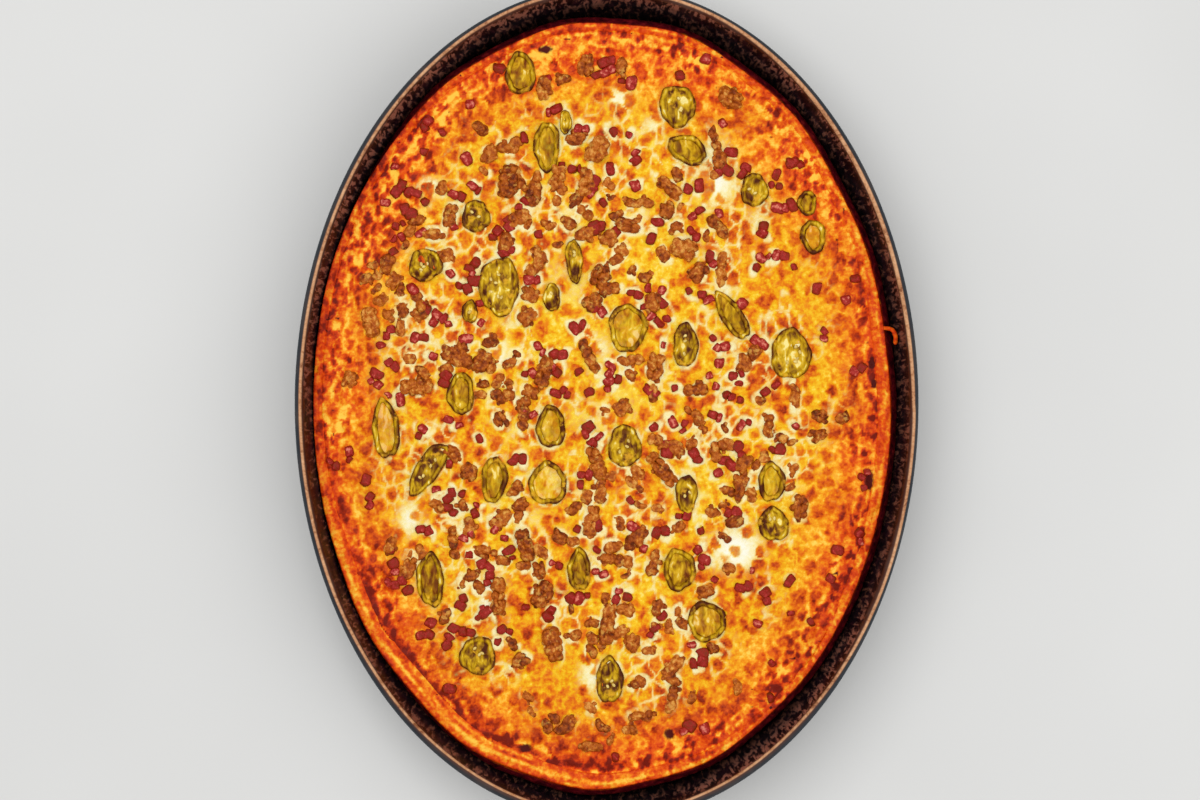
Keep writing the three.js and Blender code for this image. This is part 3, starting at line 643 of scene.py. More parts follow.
class Shader:
    """A short way to write a node material."""

    def __init__(self, name):
        self.material = bpy.data.materials.new(name)
        self.material.use_nodes = True
        self.tree = self.material.node_tree
        self.surface = self.tree.nodes["Principled BSDF"]

    def node(self, kind, inputs, **settings):
        """A new node with its settings and inputs, given by name or number."""
        made = self.tree.nodes.new(kind)
        for key, value in settings.items():
            setattr(made, key, value)
        for key, value in inputs.items():
            self.put(made.inputs[key], value)
        return made

    def put(self, socket, value):
        if isinstance(value, bpy.types.NodeSocket):
            self.tree.links.new(value, socket)
        elif isinstance(value, tuple) and len(value) == 3 and socket.type == "RGBA":
            socket.default_value = (*value, 1.0)
        else:
            socket.default_value = value

    def attribute(self, name):
        return self.node("ShaderNodeAttribute", {}, attribute_name=name).outputs["Fac"]

    def place(self):
        return self.node("ShaderNodeTexCoord", {}).outputs["Object"]

    def noise(self, scale_mm, detail=3.0, roughness=0.55, distortion=0.0, long=1.0, upright=1.0):
        """Smooth noise with lumps scale_mm wide, long times as long and upright times as high."""
        stretch = {"Vector": self.place(), "Scale": (1.0, 1.0 / long, 1.0 / upright)}
        stretched = self.node("ShaderNodeMapping", stretch)
        inputs = {"Vector": stretched.outputs["Vector"], "Scale": 1.0 / (scale_mm * MM)}
        inputs.update({"Detail": detail, "Roughness": roughness, "Distortion": distortion})
        return self.node("ShaderNodeTexNoise", inputs).outputs["Fac"]

    def grains(self, size_mm):
        """0 in the middle of scattered grains, rising towards the cracks between them."""
        inputs = {"Vector": self.place(), "Scale": 1.0 / (size_mm * MM)}
        return self.node("ShaderNodeTexVoronoi", inputs).outputs["Distance"]

    def maths(self, operation, a, b):
        return self.node("ShaderNodeMath", {0: a, 1: b}, operation=operation).outputs[0]

    def add(self, a, b):
        return self.maths("ADD", a, b)

    def minus(self, a, b):
        return self.maths("SUBTRACT", a, b)

    def times(self, a, b):
        return self.maths("MULTIPLY", a, b)

    def swing(self, value, reach, middle=0.5):
        """A value less its middle, made reach times as large."""
        return self.times(self.minus(value, middle), reach)

    def between(self, value, low, high, to_low=0.0, to_high=1.0):
        """to_low where the value is low, to_high where it is high, and an even curve between."""
        inputs = {"Value": value, "From Min": low, "From Max": high}
        inputs.update({"To Min": to_low, "To Max": to_high})
        made = self.node("ShaderNodeMapRange", inputs, interpolation_type="SMOOTHSTEP")
        return made.outputs["Result"]

    def mix(self, share, a, b):
        inputs = {"Factor": share, "A": a, "B": b}
        return self.node("ShaderNodeMix", inputs, data_type="RGBA").outputs["Result"]

    def ramp(self, value, stops, linear=False):
        """stops are rows of place, red, green and blue, as displayed or as linear ones."""
        made = self.node("ShaderNodeValToRGB", {"Fac": value})
        elements = made.color_ramp.elements
        while len(elements) < len(stops):
            elements.new(1.0)
        for element, (place, *colour) in zip(elements, stops):
            element.position = place
            element.color = (*(colour if linear else rgb(*colour)), 1.0)
        return made.outputs["Color"]

    def finish(self, colour, roughness, bumps, **settings):
        """bumps are (height socket, depth in millimetres). settings are the shader's own."""
        self.put(self.surface.inputs["Base Color"], colour)
        self.put(self.surface.inputs["Roughness"], roughness)
        under = {}
        for height, depth_mm in bumps:
            inputs = {"Height": height, "Distance": depth_mm * MM, **under}
            under = {"Normal": self.node("ShaderNodeBump", inputs).outputs["Normal"]}
        self.put(self.surface.inputs["Normal"], under["Normal"])
        for key, value in settings.items():
            self.put(self.surface.inputs[key.replace("_", " ")], value)
        return self.material


def rgb(red, green, blue):
    """A display colour, 0 to 255, as the linear one that a shader takes."""
    shares = (red / 255, green / 255, blue / 255)
    return tuple(c / 12.92 if c <= 0.04045 else ((c + 0.055) / 1.055) ** 2.4 for c in shares)


def pepper_colour(s):
    """Mottled pepper: its shade runs from browned skin over olive and yellow to cream."""
    mottle = s.swing(s.noise(2.9, 2, 0.5, 0.5, long=2.2), 2.2)
    return s.ramp(s.add(s.attribute("shade"), mottle), PEPPER_SHADES)


def baked_material():
    """Cheese and crust: yellow, orange on the rises, cream where it melted, red at the rim."""
    s = Shader("baked_cheese")
    medium = s.noise(3.6, 2, 0.5, 0.4)
    fine = s.noise(1.9, 2, 0.5, 0.3)
    mottle = s.swing(s.add(s.times(medium, 0.45), s.times(fine, 0.55)), 1.35)
    tone = s.add(s.attribute("brown"), mottle)
    colour = s.mix(s.attribute("outward"), s.ramp(tone, CHEESE_TONES), s.ramp(tone, RIM_TONES))
    colour = s.mix(s.attribute("olive"), colour, pepper_colour(s))
    # The crust's side in dark maroon: its browning with painted shade.
    colour = s.mix(s.attribute("flank"), colour, s.ramp(medium, FLANK_TONES))
    speckle = s.swing(fine, 0.5)
    cream = s.add(s.attribute("pale"), speckle)
    colour = s.mix(s.between(cream, 0.12, 0.66), colour, s.ramp(cream, MELTED_TONES))
    char = s.between(s.add(s.attribute("char"), speckle), 0.35, 0.7)
    colour = s.mix(char, colour, rgb(*CHARRED))
    roughness = s.between(s.noise(5.0, 2), 0.3, 0.7, 0.38, 0.66)
    return s.finish(colour, roughness, [(medium, 0.4), (fine, 0.25)], Specular_IOR_Level=0.09)


def bacon_material():
    s = Shader("bacon")
    mottle = s.minus(s.noise(1.8, 3, 0.6), 0.5)
    # The tone attribute carries painted light and shade: lighter on top, darker towards the base.
    colour = s.ramp(s.add(s.attribute("tone"), s.times(mottle, 1.5)), BACON_TONES)
    return s.finish(colour, 0.45, [(mottle, 0.5)], Specular_IOR_Level=0.14)


def sausage_material():
    """Ground meat with some cheese melted over it: lighter on its rises and darker in its cracks,
    painted light and shade.
    """
    s = Shader("sausage")
    rough = s.noise(2.6, 4, 0.65)
    crack = s.grains(1.9)
    # Lighter where the bump rises and darker in the cracks: painted light and shade.
    tone = s.add(s.attribute("tone"), s.swing(rough, 1.6))
    tone = s.minus(tone, s.swing(crack, 0.45, middle=0.45))
    over = s.between(s.noise(3.4, 3, 0.6), 0.55, 0.68, 0.0, 0.6)
    colour = s.mix(over, s.ramp(tone, SAUSAGE_TONES), rgb(*CHEESE_ON_SAUSAGE))
    return s.finish(colour, 0.5, [(rough, 0.6), (crack, -0.5)], Specular_IOR_Level=0.15)


def pepper_material():
    """A slice, with some cheese melted over it."""
    s = Shader("pepper")
    over = s.between(s.noise(6.0, 3, 0.6), 0.55, 0.68, 0.0, 0.75)
    colour = s.mix(over, pepper_colour(s), rgb(*CHEESE_ON_PEPPER))
    return s.finish(colour, 0.5, [(s.noise(1.6, 3), 0.35)], Specular_IOR_Level=0.1)


def seed_material():
    s = Shader("pepper_seed")
    return s.finish(s.ramp(s.noise(1.5, 2), SEED_TONES), 0.4, [(s.noise(0.8, 2), 0.1)])


def pan_material():
    """Dark metal: slate outside, a painted bluish reflection on the roll, a rim line of worn
    copper with a painted highlight, greasy near-black inside.
    """
    s = Shader("pan_metal")
    streaks = s.noise(3.0, 5, 0.7, upright=3.0)
    blotches = s.noise(14.0, 4, 0.6)
    specks = s.noise(2.2, 3, 0.7, 1.0)
    drips = s.noise(2.4, 3, 0.6, 0.6, upright=5.0)
    dripped = s.between(drips, 0.54, 0.64, 0.0, 0.60)
    inside = s.mix(dripped, s.ramp(streaks, WALL_TONES), rgb(*DRIP))
    # The bluish grey on the roll's outer side is a painted reflection.
    outside = s.ramp(s.attribute("band"), METAL_TONES)
    outside = s.mix(s.between(blotches, 0.42, 0.68, 0.0, 0.35), outside, rgb(*BLOTCH))
    # The rim's line: worn copper with a painted highlight along the roll's top.
    wear_and_highlight_colour = s.ramp(s.add(s.times(specks, 0.5), s.times(blotches, 0.5)), WEAR_AND_HIGHLIGHT_TONES)
    rim = s.mix(s.attribute("worn_copper_and_highlight"), outside, wear_and_highlight_colour)
    colour = s.mix(s.attribute("inside"), rim, inside)
    grease = s.times(s.attribute("grease"), s.between(drips, 0.47, 0.58))
    colour = s.mix(grease, colour, rgb(*GREASE))
    roughness = s.between(blotches, 0.3, 0.7, 0.40, 0.65)
    return s.finish(colour, roughness, [(streaks, 0.08)], Metallic=0.1, Specular_IOR_Level=0.2)


def floor_material():
    s = Shader("pale_floor")
    colour = s.ramp(s.noise(220.0, 2), FLOOR_TONES, linear=True)
    return s.finish(colour, 0.9, [(s.noise(2.0, 2), 0.02)], Specular_IOR_Level=0.1)


# ---------------------------------------------------------------- the pan


def straight(start, end, count, band):
    """Points of the pan's section on a line between two others, which are left out."""
    x, height = start[:2]
    shares = np.linspace(0, 1, count)[1:-1]
    return [(x + (end[0] - x) * t, height + (end[1] - height) * t, band) for t in shares]


def corner(x, height, radius, bends, band):
    """Points of the pan's section round the corner at its wall's foot."""
    return [
        (x + radius * math.sin(bend), height + radius * (1 - math.cos(bend)), band)
        for bend in bends
    ]


def pan_section():
    """The pan's section from the middle of its underside round the rim to the middle inside.

    Each point is x for the pan's width, its height, and its band: 0 outside, then how far along
    the rim's roll it lies, and 2 inside."""
    half, roll = PAN_WIDTH / 2, ROLL / 2
    outer_corner = CORNER + SHEET
    corner_at = half - wall_inset(outer_corner) - CORNER
    level = lambda share: share * (corner_at - 2) + 0.5
    underside = [(level(share), 0.0, 0.0) for share in np.linspace(0, 1, 18)]
    outer = corner(corner_at, 0.0, outer_corner, np.linspace(0, math.pi / 2, 9), 0.0)
    rim = []
    for share in np.linspace(0, 1, 44):
        bend = ROLL_START + ROLL_TURN * share
        height = PAN_HEIGHT - roll + roll * math.sin(bend)
        rim.append((half - roll + roll * math.cos(bend), height, share))
    inner = corner(corner_at, SHEET, CORNER, np.linspace(math.pi / 2, 0, 7), 2.0)
    bottom = [(level(share), SHEET, 2.0) for share in np.linspace(1, 0, 8)]
    outer_wall = straight(outer[-1], rim[0], 12, 0.0)
    inner_wall = straight(rim[-1], inner[0], 26, 2.0)
    return np.array(underside + outer + outer_wall + rim + inner_wall + inner + bottom)


def rim_wear_and_highlight_mask(turn, band, ripple):
    """The rim's line of worn copper with a painted highlight: further out at the right, further in
    at the front.
    """
    wide = towards(turn, 33, 0.8, 0.97)
    first = 0.69 - 0.05 * towards(turn, 35, -0.1, 0.6) + 0.09 * towards(turn, 268, 0.5, 0.95)
    first = first + 0.04 * wide + 0.05 * ripple
    last = first + 0.11 + 0.05 * wide
    return smooth(first - 0.02, first + 0.02, band) * smooth(last + 0.03, last - 0.03, band)


def grease_on(turn, z, band):
    """Baked-on grease: on the rim's inner bend and down the wall, most at the back."""
    broken = smooth(0.20, 0.50, noise2(turn * 34 + 0 * z, z * 0.5, 4.0, 67))
    greasy = np.maximum(towards(turn, 90, -0.1, 0.6), towards(turn, 300, 0.75, 0.97))
    up_the_wall = 0.25 + 0.75 * smooth(36.0 - 8 * greasy, 46.0, z)
    at_the_bend = np.where(band <= 1.0, smooth(0.86, 0.94, band), up_the_wall)
    return np.clip(at_the_bend * broken * (0.6 + 0.4 * greasy), 0, 1)


def make_pan(material):
    section = pan_section()
    turn = round_turn(PAN_STEPS)
    radius, z, band = (np.repeat(section[:, [k]], PAN_STEPS, axis=1) for k in range(3))
    x = radius * np.cos(turn)
    drawn_out = (PAN_LENGTH - PAN_WIDTH) / 2
    y = radius * np.sin(turn) * (1 + np.where(radius > 1, drawn_out / np.maximum(radius, 1), 0))
    ripple = noise2(turn * 40 + 0 * z, z, 9.0, 61) - 0.5
    on_wall = (z > 12) & (band == 2.0) & (z < PAN_HEIGHT - ROLL)
    push = np.where(on_wall, 0.5 * ripple, 0.0)
    x, y = x - push * np.cos(turn), y - push * np.sin(turn)
    points = np.vstack([as_points(x, y, z), [0, 0, 0], [0, 0, SHEET]]) * WITHIN_CAD
    masks = {
        "band": np.minimum(band, 1.0),
        # Where the rim's worn copper and painted highlight lie.
        "worn_copper_and_highlight": rim_wear_and_highlight_mask(turn, band, ripple),
        "inside": smooth(0.9, 1.05, band),
        "grease": grease_on(turn, z, band),
    }
    ends = {"band": [0, 1], "worn_copper_and_highlight": [0, 0], "inside": [0, 1], "grease": [0, 0]}
    masks = {key: np.concatenate([masks[key].ravel(), ends[key]]) for key in masks}
    faces = capped_faces(len(section), PAN_STEPS)
    return mesh_piece("pan_dish", points, faces, material, ["pan"], masks)


# ---------------------------------------------------------------- crust and cheese


def spot_reach(x, y, spot):
    """0 in a spot's middle and 1 at its reach, squared."""
    return ((x - spot[0]) / spot[2]) ** 2 + ((y - spot[1]) / spot[3]) ** 2


def rim_tones(x, y, u, v, distance, lip, small):
    """How much browner the baked surface is near the rim, how near it is, and its streaks.

    Burnt red specks lie densest at the upper left, and a ragged band follows the bare lip."""
    dense = np.exp(-((turned_from(x, y, DENSE_SPECKS) / DENSE_REACH) ** 2))
    rim = smooth(36 + 12 * dense, 5, distance)
    along = RIM_RADIUS * oval_turn(x, y)
    near_speck, _, drawn = cells2(u + 50, 0.8 * v, 3.3, 37)
    speck = smooth(0.56, 0.28, near_speck) * smooth(0.36, 0.48, drawn + 0.22 * dense)
    patch = np.maximum(smooth(0.35, 0.65, noise2(x, y, 12.0, 38)), dense)
    streak = noise2(along / 5 + small, distance + 0.5 * small, 2.0, 39) - 0.5
    own = rim * (0.05 + (0.20 + 0.44 * patch) * speck) + 0.6 * streak * smooth(26, 8, distance)
    ragged = distance - lip - 3.4 + 4.0 * (noise2(x, y, 6.0, 40) - 0.5)
    border = np.exp(-((ragged / 3.8) ** 2)) * (0.25 + 0.75 * smooth(4, 7.5, lip))
    own = own + 0.54 * border * smooth(0.15, 0.45, noise2(along / 4, distance, 3.0, 33))
    for degrees, depth, reach, reach_mm, amount in BAKED:
        apart = (turned_from(x, y, degrees) / reach) ** 2 + ((distance - depth) / reach_mm) ** 2
        own = own + amount * np.exp(-apart)
    return own, rim, streak


def surface_masks(x, y, distance, lip):
    """Relief and colour masks of the baked surface at places on it.

    distance is how far inside the crust's outer edge a place lies, and lip the bare width there,
    both in millimetres. Tones run from 0 to 1: 0 pale, 1 burnt."""
    u = x + 3.0 * noise2(x, y, 4.6, 20) + 1.3 * noise2(x, y, 2.1, 25)
    v = 0.80 * (y + 3.0 * noise2(x, y, 4.6, 26) + 1.3 * noise2(x, y, 2.1, 34))
    first, second, drawn = cells2(u, v, 6.4, 21)
    blob = smooth(0.66, 0.16, first) * smooth(0.05, 0.75, drawn)
    near_small, _, drawn_small = cells2(u, v, 3.2, 36)
    spot = smooth(0.60, 0.14, near_small) * drawn_small
    small = noise2(x, y, 2.2, 23)
    broad = noise2(x, y, 24.0, 24)
    brown = 0.21 + 0.42 * blob + 0.22 * spot + 0.16 * (small - 0.5) + 0.24 * (broad - 0.4)
    brown = brown + 0.08 * smooth(95, 65, distance) * smooth(30, 50, distance)
    own, rim, streak = rim_tones(x, y, u, v, distance, lip, small)

    strands = smooth(0.36, 0.06, second - first) * smooth(0.40, 0.68, noise2(x, 0.6 * y, 8.0, 32))
    pale = 0.50 * strands * smooth(10, 46, distance + 14 * (broad - 0.5))
    for spot_row in MELTED:
        melted = spot_row[4] * np.exp(-1.3 * spot_reach(x, y, spot_row))
        pale = np.maximum(pale, melted * (0.30 + 0.70 * smooth(0.5, 0.15, blob)))
    covered = 1 - smooth(4, 7.5, lip)
    char = 0.7 * smooth(0.88, 0.97, noise2(x, y, 3.0, 27)) * smooth(30, 12, distance)
    char = char * covered
    for spot_row in BURNT:
        char = np.maximum(char, 0.9 * np.exp(-spot_reach(x, y, spot_row)))
    masks = {
        "brown": brown * (1 - 0.3 * rim) + own,
        "pale": pale,
        "outward": smooth(50, 8, distance + 22 * (broad - 0.5)),
        "char": char,
    }
    return blob + 0.35 * spot + 0.4 * (small - 0.5) + 0.3 * streak * rim, masks


def crust_rings(turn):
    """The crust's rings from its foot over its lip to under the cheese, as inset, height, across.

    across is -1 below the side, 0 at the crust's edge and 1 under the cheese."""
    rows = []
    corner_top = CRUST_BASE + CORNER
    for height in np.linspace(CRUST_FOOT, FLANK_FOOT, 14):
        foot = max(0.0, corner_top - height)
        rounding = CORNER - math.sqrt(max(0.0, CORNER**2 - foot**2))
        rows.append((foot_inset(turn, max(height, corner_top)) + rounding, height, -1.0))
    start = foot_inset(turn, FLANK_FOOT)
    end = crust_inset(turn) + 2 * LIP_SHOULDER * math.tan(WALL_LEAN)
    side_top = lip_height(turn) - 2 * LIP_SHOULDER
    for share in np.linspace(0, 1, 12)[1:]:
        height = FLANK_FOOT + (side_top - FLANK_FOOT) * share
        rows.append((start + (end - start) * share**1.35, height, -1 + 0.9 * share))
    for share in np.linspace(0, 1, 20):
        edge = 0.25 * (1 - min(1, share / 0.12))
        crown = 1.7 * (1 - min(1, share / 0.14)) ** 2 + 1.1 * max(0, share - 0.35) ** 1.6
        inset = crust_inset(turn) + bare_width(turn) * 1.25 * share + edge
        rows.append((inset, lip_height(turn) - LIP_SHOULDER * crown, share))
    rows.append((crust_inset(turn) + 1.4 * bare_width(turn) + 1, CRUST_INNER_TOP, 1.0))
    return (np.array([np.broadcast_to(row[k], turn.shape) for row in rows]) for k in range(3))


def make_crust(material):
    """The crust's outer side and its lip, which dips under the cheese's edge."""
    turn = round_turn(CRUST_STEPS)
    inset, z, across = crust_rings(turn)
    x = (PAN_WIDTH / 2 - inset) * np.cos(turn)
    y = (PAN_LENGTH / 2 - inset) * np.sin(turn)
    distance = inset - crust_inset(turn)
    lip = np.broadcast_to(bare_width(turn), x.shape)
    relief, masks = surface_masks(x, y, np.maximum(distance, 0), lip)
    on_top = smooth(-0.5, 0.4, across)
    bare = smooth(3.5, 7.5, bare_width(turn))
    z = z + on_top * (relief * (0.9 - 0.55 * bare) - 0.2)
    z = z - 0.5 * smooth(0.62, 0.8, noise3(as_points(x, y, z), 3.0, 41)).reshape(z.shape) * on_top
    crags = noise3(as_points(x, y, z), 2.6, 43).reshape(z.shape) - 0.5
    push = np.where(across < 0, 0.5 * crags, 0.25 * crags)
    x, y = x - push * np.cos(turn), y - push * np.sin(turn)
    drawn_out = noise2(RIM_RADIUS * np.broadcast_to(turn, x.shape) / 9, distance, 1.7, 46) - 0.5
    yellow = np.exp(-(((across - 0.46) / 0.16) ** 2))
    lip_tone = 0.40 + 0.28 * smooth(0.26, 0.02, across) - 0.24 * yellow + 0.6 * drawn_out
    own = 0.45 + 0.45 * bare
    # The crust's side, coloured dark maroon: its browning with painted shade.
    side = smooth(-0.02, -0.30, across)
    masks = {
        "brown": masks["brown"] * (1 - own) + lip_tone * own,
        "pale": masks["pale"] * on_top * 0.4 * (1 - bare),
        "outward": np.maximum(masks["outward"], 1 - on_top),
        "char": np.clip(masks["char"] * on_top * (1 - side), 0, 1),
        "flank": side,
    }
    masks = {key: np.concatenate([mask.ravel(), [0.5, 0.5]]) for key, mask in masks.items()}
    middles = [[0, 0, CRUST_FOOT], [0, 0, CRUST_INNER_TOP]]
    points = np.vstack([as_points(x, y, z), *middles])
    faces = capped_faces(len(z), CRUST_STEPS)
    return mesh_piece("crust_lip", points, faces, material, ["crust"], masks)


def tube(path, radii, sides):
    """Points and faces of a round tube along a path, with its ends drawn to a point."""
    turn = round_turn(sides)[:, None]
    rows = []
    for i, centre in enumerate(path):
        along = path[min(i + 1, len(path) - 1)] - path[max(i - 1, 0)]
        along /= np.linalg.norm(along)
        side = np.cross(along, [0.2, 0.3, 1.0])
        side /= np.linalg.norm(side)
        up = np.cross(side, along)
        rows.append(centre + radii[i] * (np.cos(turn) * side + np.sin(turn) * up))
    return np.vstack([*rows, path[0], path[-1]]), capped_faces(len(path), sides)


def make_hook(material):
    """The finger of crust over the lip at the right: a tube on a smooth path through its knots."""
    knots = [Vector(knot) for knot in HOOK]
    path = []
    for i in range(len(knots) - 1):
        before, after = knots[max(i - 1, 0)], knots[min(i + 2, len(knots) - 1)]
        leave, arrive = (knots[i + 1] - before) / 2, (after - knots[i]) / 2
        for k in range(HOOK_STEPS):
            t = k / HOOK_STEPS
            a, b = 2 * t**3 - 3 * t**2 + 1, t**3 - 2 * t**2 + t
            c, d = -2 * t**3 + 3 * t**2, t**3 - t**2
            path.append(a * knots[i] + b * leave + c * knots[i + 1] + d * arrive)
    path = np.array([tuple(point) for point in path + knots[-1:]])
    thick = 0.5 * HOOK_THICKNESS * (0.75 + 0.5 * noise3(path, 3.0, 44))
    thick[-3:] *= (0.9, 0.7, 0.4)
    points, faces = tube(path, thick, 12)
    points = points + 0.25 * (noise3(points, 1.2, 45)[:, None] - 0.5)
    masks = {"brown": np.full(len(points), 0.5), "outward": np.ones(len(points))}
    return mesh_piece("crust_hook", points, faces, material, ["crust"], masks)


def topping_field(x, y, rows, reach):
    """How far a place is from the nearest of the ovals in rows: 0 under one, at most reach."""
    closest = np.full(x.shape, float(reach))
    for row in rows:
        half = max(row[2], row[3]) / 2 + reach
        picked = (np.abs(x - row[0]) < half) & (np.abs(y - row[1]) < half)
        away = (reach_to(x[picked], y[picked], row) - 1) * min(row[2], row[3]) / 2
        closest[picked] = np.minimum(closest[picked], np.maximum(away, 0))
    return closest


def ovals_of(crumbs, bits):
    """The outlines of all sausage and bacon as (x, y, length, breadth, degrees)."""
    rows = SAUSAGES + SMALL_SAUSAGES
    kinds = ((crumbs, CRUMB_LENGTH, CRUMB_BREADTH), (bits, BIT_LENGTH, BIT_BREADTH))
    for places, longest, breadth in kinds:
        for x, y, size, turn in places:
            length = longest * size
            rows.append((x, y, length, length * breadth, math.degrees(turn)))
    return rows


def inside_open_slices(x, y):
    """Where cheese shows inside the open pepper slices, and its shade there."""
    olive, shade = np.zeros_like(x), np.zeros_like(x)
    for *outline, middle, inside in PEPPERS:
        if middle == "open":
            within = smooth(1.0, 0.8, reach_to(x, y, outline))
            olive = np.maximum(olive, (0.9 - max(0.0, inside)) * within)
            shade = np.where(within > 0, 0.52 + 0.6 * inside, shade)
    return olive, shade


def make_cheese(material, crumbs, bits):
    """The melted cheese: a fine grid cut off at the crust, raised and paler round the toppings."""
    rows, columns = int(PAN_LENGTH / CHEESE_GRID), int(PAN_WIDTH / CHEESE_GRID)
    x = (np.arange(columns) - (columns - 1) / 2) * CHEESE_GRID
    y = (np.arange(rows) - (rows - 1) / 2) * CHEESE_GRID
    x, y = np.meshgrid(x, y)
    turn = oval_turn(x, y)
    distance = inset_of(x, y) - crust_inset(turn)
    beyond = distance - bare_width(turn)
    relief, masks = surface_masks(x, y, distance, bare_width(turn))
    meat = topping_field(x, y, ovals_of(crumbs, bits), 4.0)
    slices = topping_field(x, y, PEPPERS, 4.0)
    halo = smooth(2.8, 0.5, np.minimum(meat, slices + 0.6))
    halo = halo * smooth(0.42, 0.66, noise2(x, 0.7 * y, 4.0, 31)) * smooth(18, 46, distance)
    z = cheese_height(x, y) + relief * smooth(0, 8, beyond) + 0.45 * smooth(2.6, 0.2, meat)
    z = z - 2.2 * smooth(1.2, -1.2, beyond)
    olive, shade = inside_open_slices(x, y)
    pale = np.clip(np.maximum(masks["pale"], 0.61 * halo), 0, 1) * (1 - olive)
    masks.update({"pale": pale, "olive": olive, "shade": shade, "flank": np.zeros_like(x)})
    keep = beyond > -1.4
    quads = keep[:-1, :-1] & keep[:-1, 1:] & keep[1:, 1:] & keep[1:, :-1]
    faces = grid_faces(rows, columns)[quads.ravel()]
    used = np.unique(faces)
    points, faces, source = closed_below(
        as_points(x, y, z)[used], np.searchsorted(used, faces), CHEESE_UNDERSIDE
    )
    masks = {key: mask.ravel()[used][source] for key, mask in masks.items()}
    return mesh_piece("cheese_top", points, faces, material, ["cheese"], masks)


# ---------------------------------------------------------------- the toppings


def make_bacon(material, bits):
    """Diced bacon: squarish blocks with a fold, dark at their ends, some with a streak of fat, and
    painted lighter on top and darker towards the base.
    """
    base, faces = lump(9, 14, 0.60)
    drawn = np.random.default_rng(71).random((len(bits), 7))
    parts = []
    for (x, y, size, turn), own in zip(bits, drawn):
        length = BIT_LENGTH * size * (0.66 + 0.28 * own[5])
        across = BIT_LENGTH * size * (BIT_BREADTH - 0.04 + 0.2 * own[0])
        points = base * (length, across, BIT_HEIGHT * (0.9 + 0.3 * own[1]))
        points[:, 1] += 1.1 * (own[2] - 0.5) * (points[:, 0] / length * 2) ** 2
        crumple = [noise3(points + 50 * own[3], 1.9, 72 + k) - 0.5 for k in range(3)]
        points += 1.3 * np.stack(crumple, 1)
        ends = np.abs(base[:, 0]) * 2
        fat = np.exp(-(((base[:, 1] - 0.5 * (own[6] - 0.5)) / 0.10) ** 2)) * (own[4] > 0.7)
        # The last term makes each bit lighter towards its top and darker towards its base: painted
        # light and shade.
        tone = 0.30 + 0.30 * own[4] - 0.20 * smooth(0.5, 1.0, ends) + 0.30 * base[:, 2]
        points[:, 2] += 0.15 * (own[3] - 0.5) * points[:, 0]
        middle = cheese_height(x, y) + BIT_RAISED
        parts.append((placed(points, x, y, middle, turn), faces, {"tone": tone + 0.3 * fat}))
    points, faces, masks = joined(parts)
    return mesh_piece("bacon_bits", points, faces, material, ["cheese"], masks)


def grain(shape, size, tone, shift, x, y, height, turn):
    """One dented grain of ground meat at a place, as (points, faces, attributes)."""
    base, faces = shape
    outward = base / np.linalg.norm(base, axis=1)[:, None]
    points = base * size
    coarse = noise3(points + shift, 3.0, 81) - 0.5
    fine = noise3(points + shift, 1.4, 82) - 0.5
    points = points + outward * (0.30 * size[1] * coarse + 1.1 * fine)[:, None]
    # The tone follows the dents: lighter out on the bumps, darker in the dents, painted light and
    # shade.
    return placed(points, x, y, height, turn), faces, {"tone": tone + 0.2 * coarse + 0.4 * fine}


def spread_over(i, count):
    """Where the i-th of count things lies between -1 and 1."""
    return 2 * i / (count - 1) - 1 if count > 1 else 0.0


def sausage_lump(shapes, length, breadth, height, seed):
    """A crumbly lump as (points, faces, attributes): rows of grains and loose ones round them.

    shapes are the grain's own and the loose grain's (points, faces)."""
    draw = np.random.default_rng(seed)
    tone = 0.36 + 0.30 * draw.random()
    along, across = max(1, round(length / GRAIN)), max(1, round(breadth / GRAIN))
    parts = []
    for i, j in itertools.product(range(along), range(across)):
        own = draw.random(7)
        u = spread_over(i, along) + (own[0] - 0.5) / along
        v = spread_over(j, across) + (own[1] - 0.5) / across
        if across == 1:
            v = 1.2 * (own[1] - 0.5)
        v = v * (1 - 0.25 * u * u)
        long = length / along * (1.25 + 0.4 * own[4] if along > 1 else 1.0)
        wide = breadth / across * (1.0 + 0.35 * own[2] if across > 1 else 0.72 + 0.24 * own[2])
        deep = height * (0.85 + 0.25 * own[3]) * (1 - 0.15 * min(1.0, u * u + v * v))
        place = (u * (length - long) / 2, v * (breadth - wide) / 2, 0.0, 1.2 * (own[6] - 0.5))
        own_tone = tone + 0.34 * (own[5] - 0.5)
        parts.append(grain(shapes[0], (long, wide, deep), own_tone, 31 * own[6], *place))
    for _ in range(round((length + breadth) / LOOSE_SPACING)):
        own = draw.random(5)
        way, size = 2 * math.pi * own[0], LOOSE_GRAIN * (0.7 + 0.6 * own[1])
        away = 0.80 + 0.16 * own[4]
        u, v = away * length / 2 * math.cos(way), away * breadth / 2 * math.sin(way)
        place = (u, v, -0.12 * height, way)
        own_tone = tone - 0.1 * own[2]
        parts.append(grain(shapes[1], (1.2 * size, size, size), own_tone, 31 * own[3], *place))
    return joined(parts)


def make_sausages(material):
    shapes = (lump(12, 18, 0.9), lump(6, 10, 0.9))
    for number, (x, y, length, breadth, degrees) in enumerate(SAUSAGES, 1):
        height = min(breadth, SAUSAGE_HEIGHT)
        points, faces, masks = sausage_lump(shapes, length, breadth, height, number)
        middle = cheese_height(x, y) + breadth * SAUSAGE_RISE_SHARE - SAUSAGE_SUNK
        points = placed(points, x, y, middle, math.radians(degrees))
        node = f"sausage_{number:02d}"
        mesh_piece(node + "_lump", points, faces, material, [node], masks)


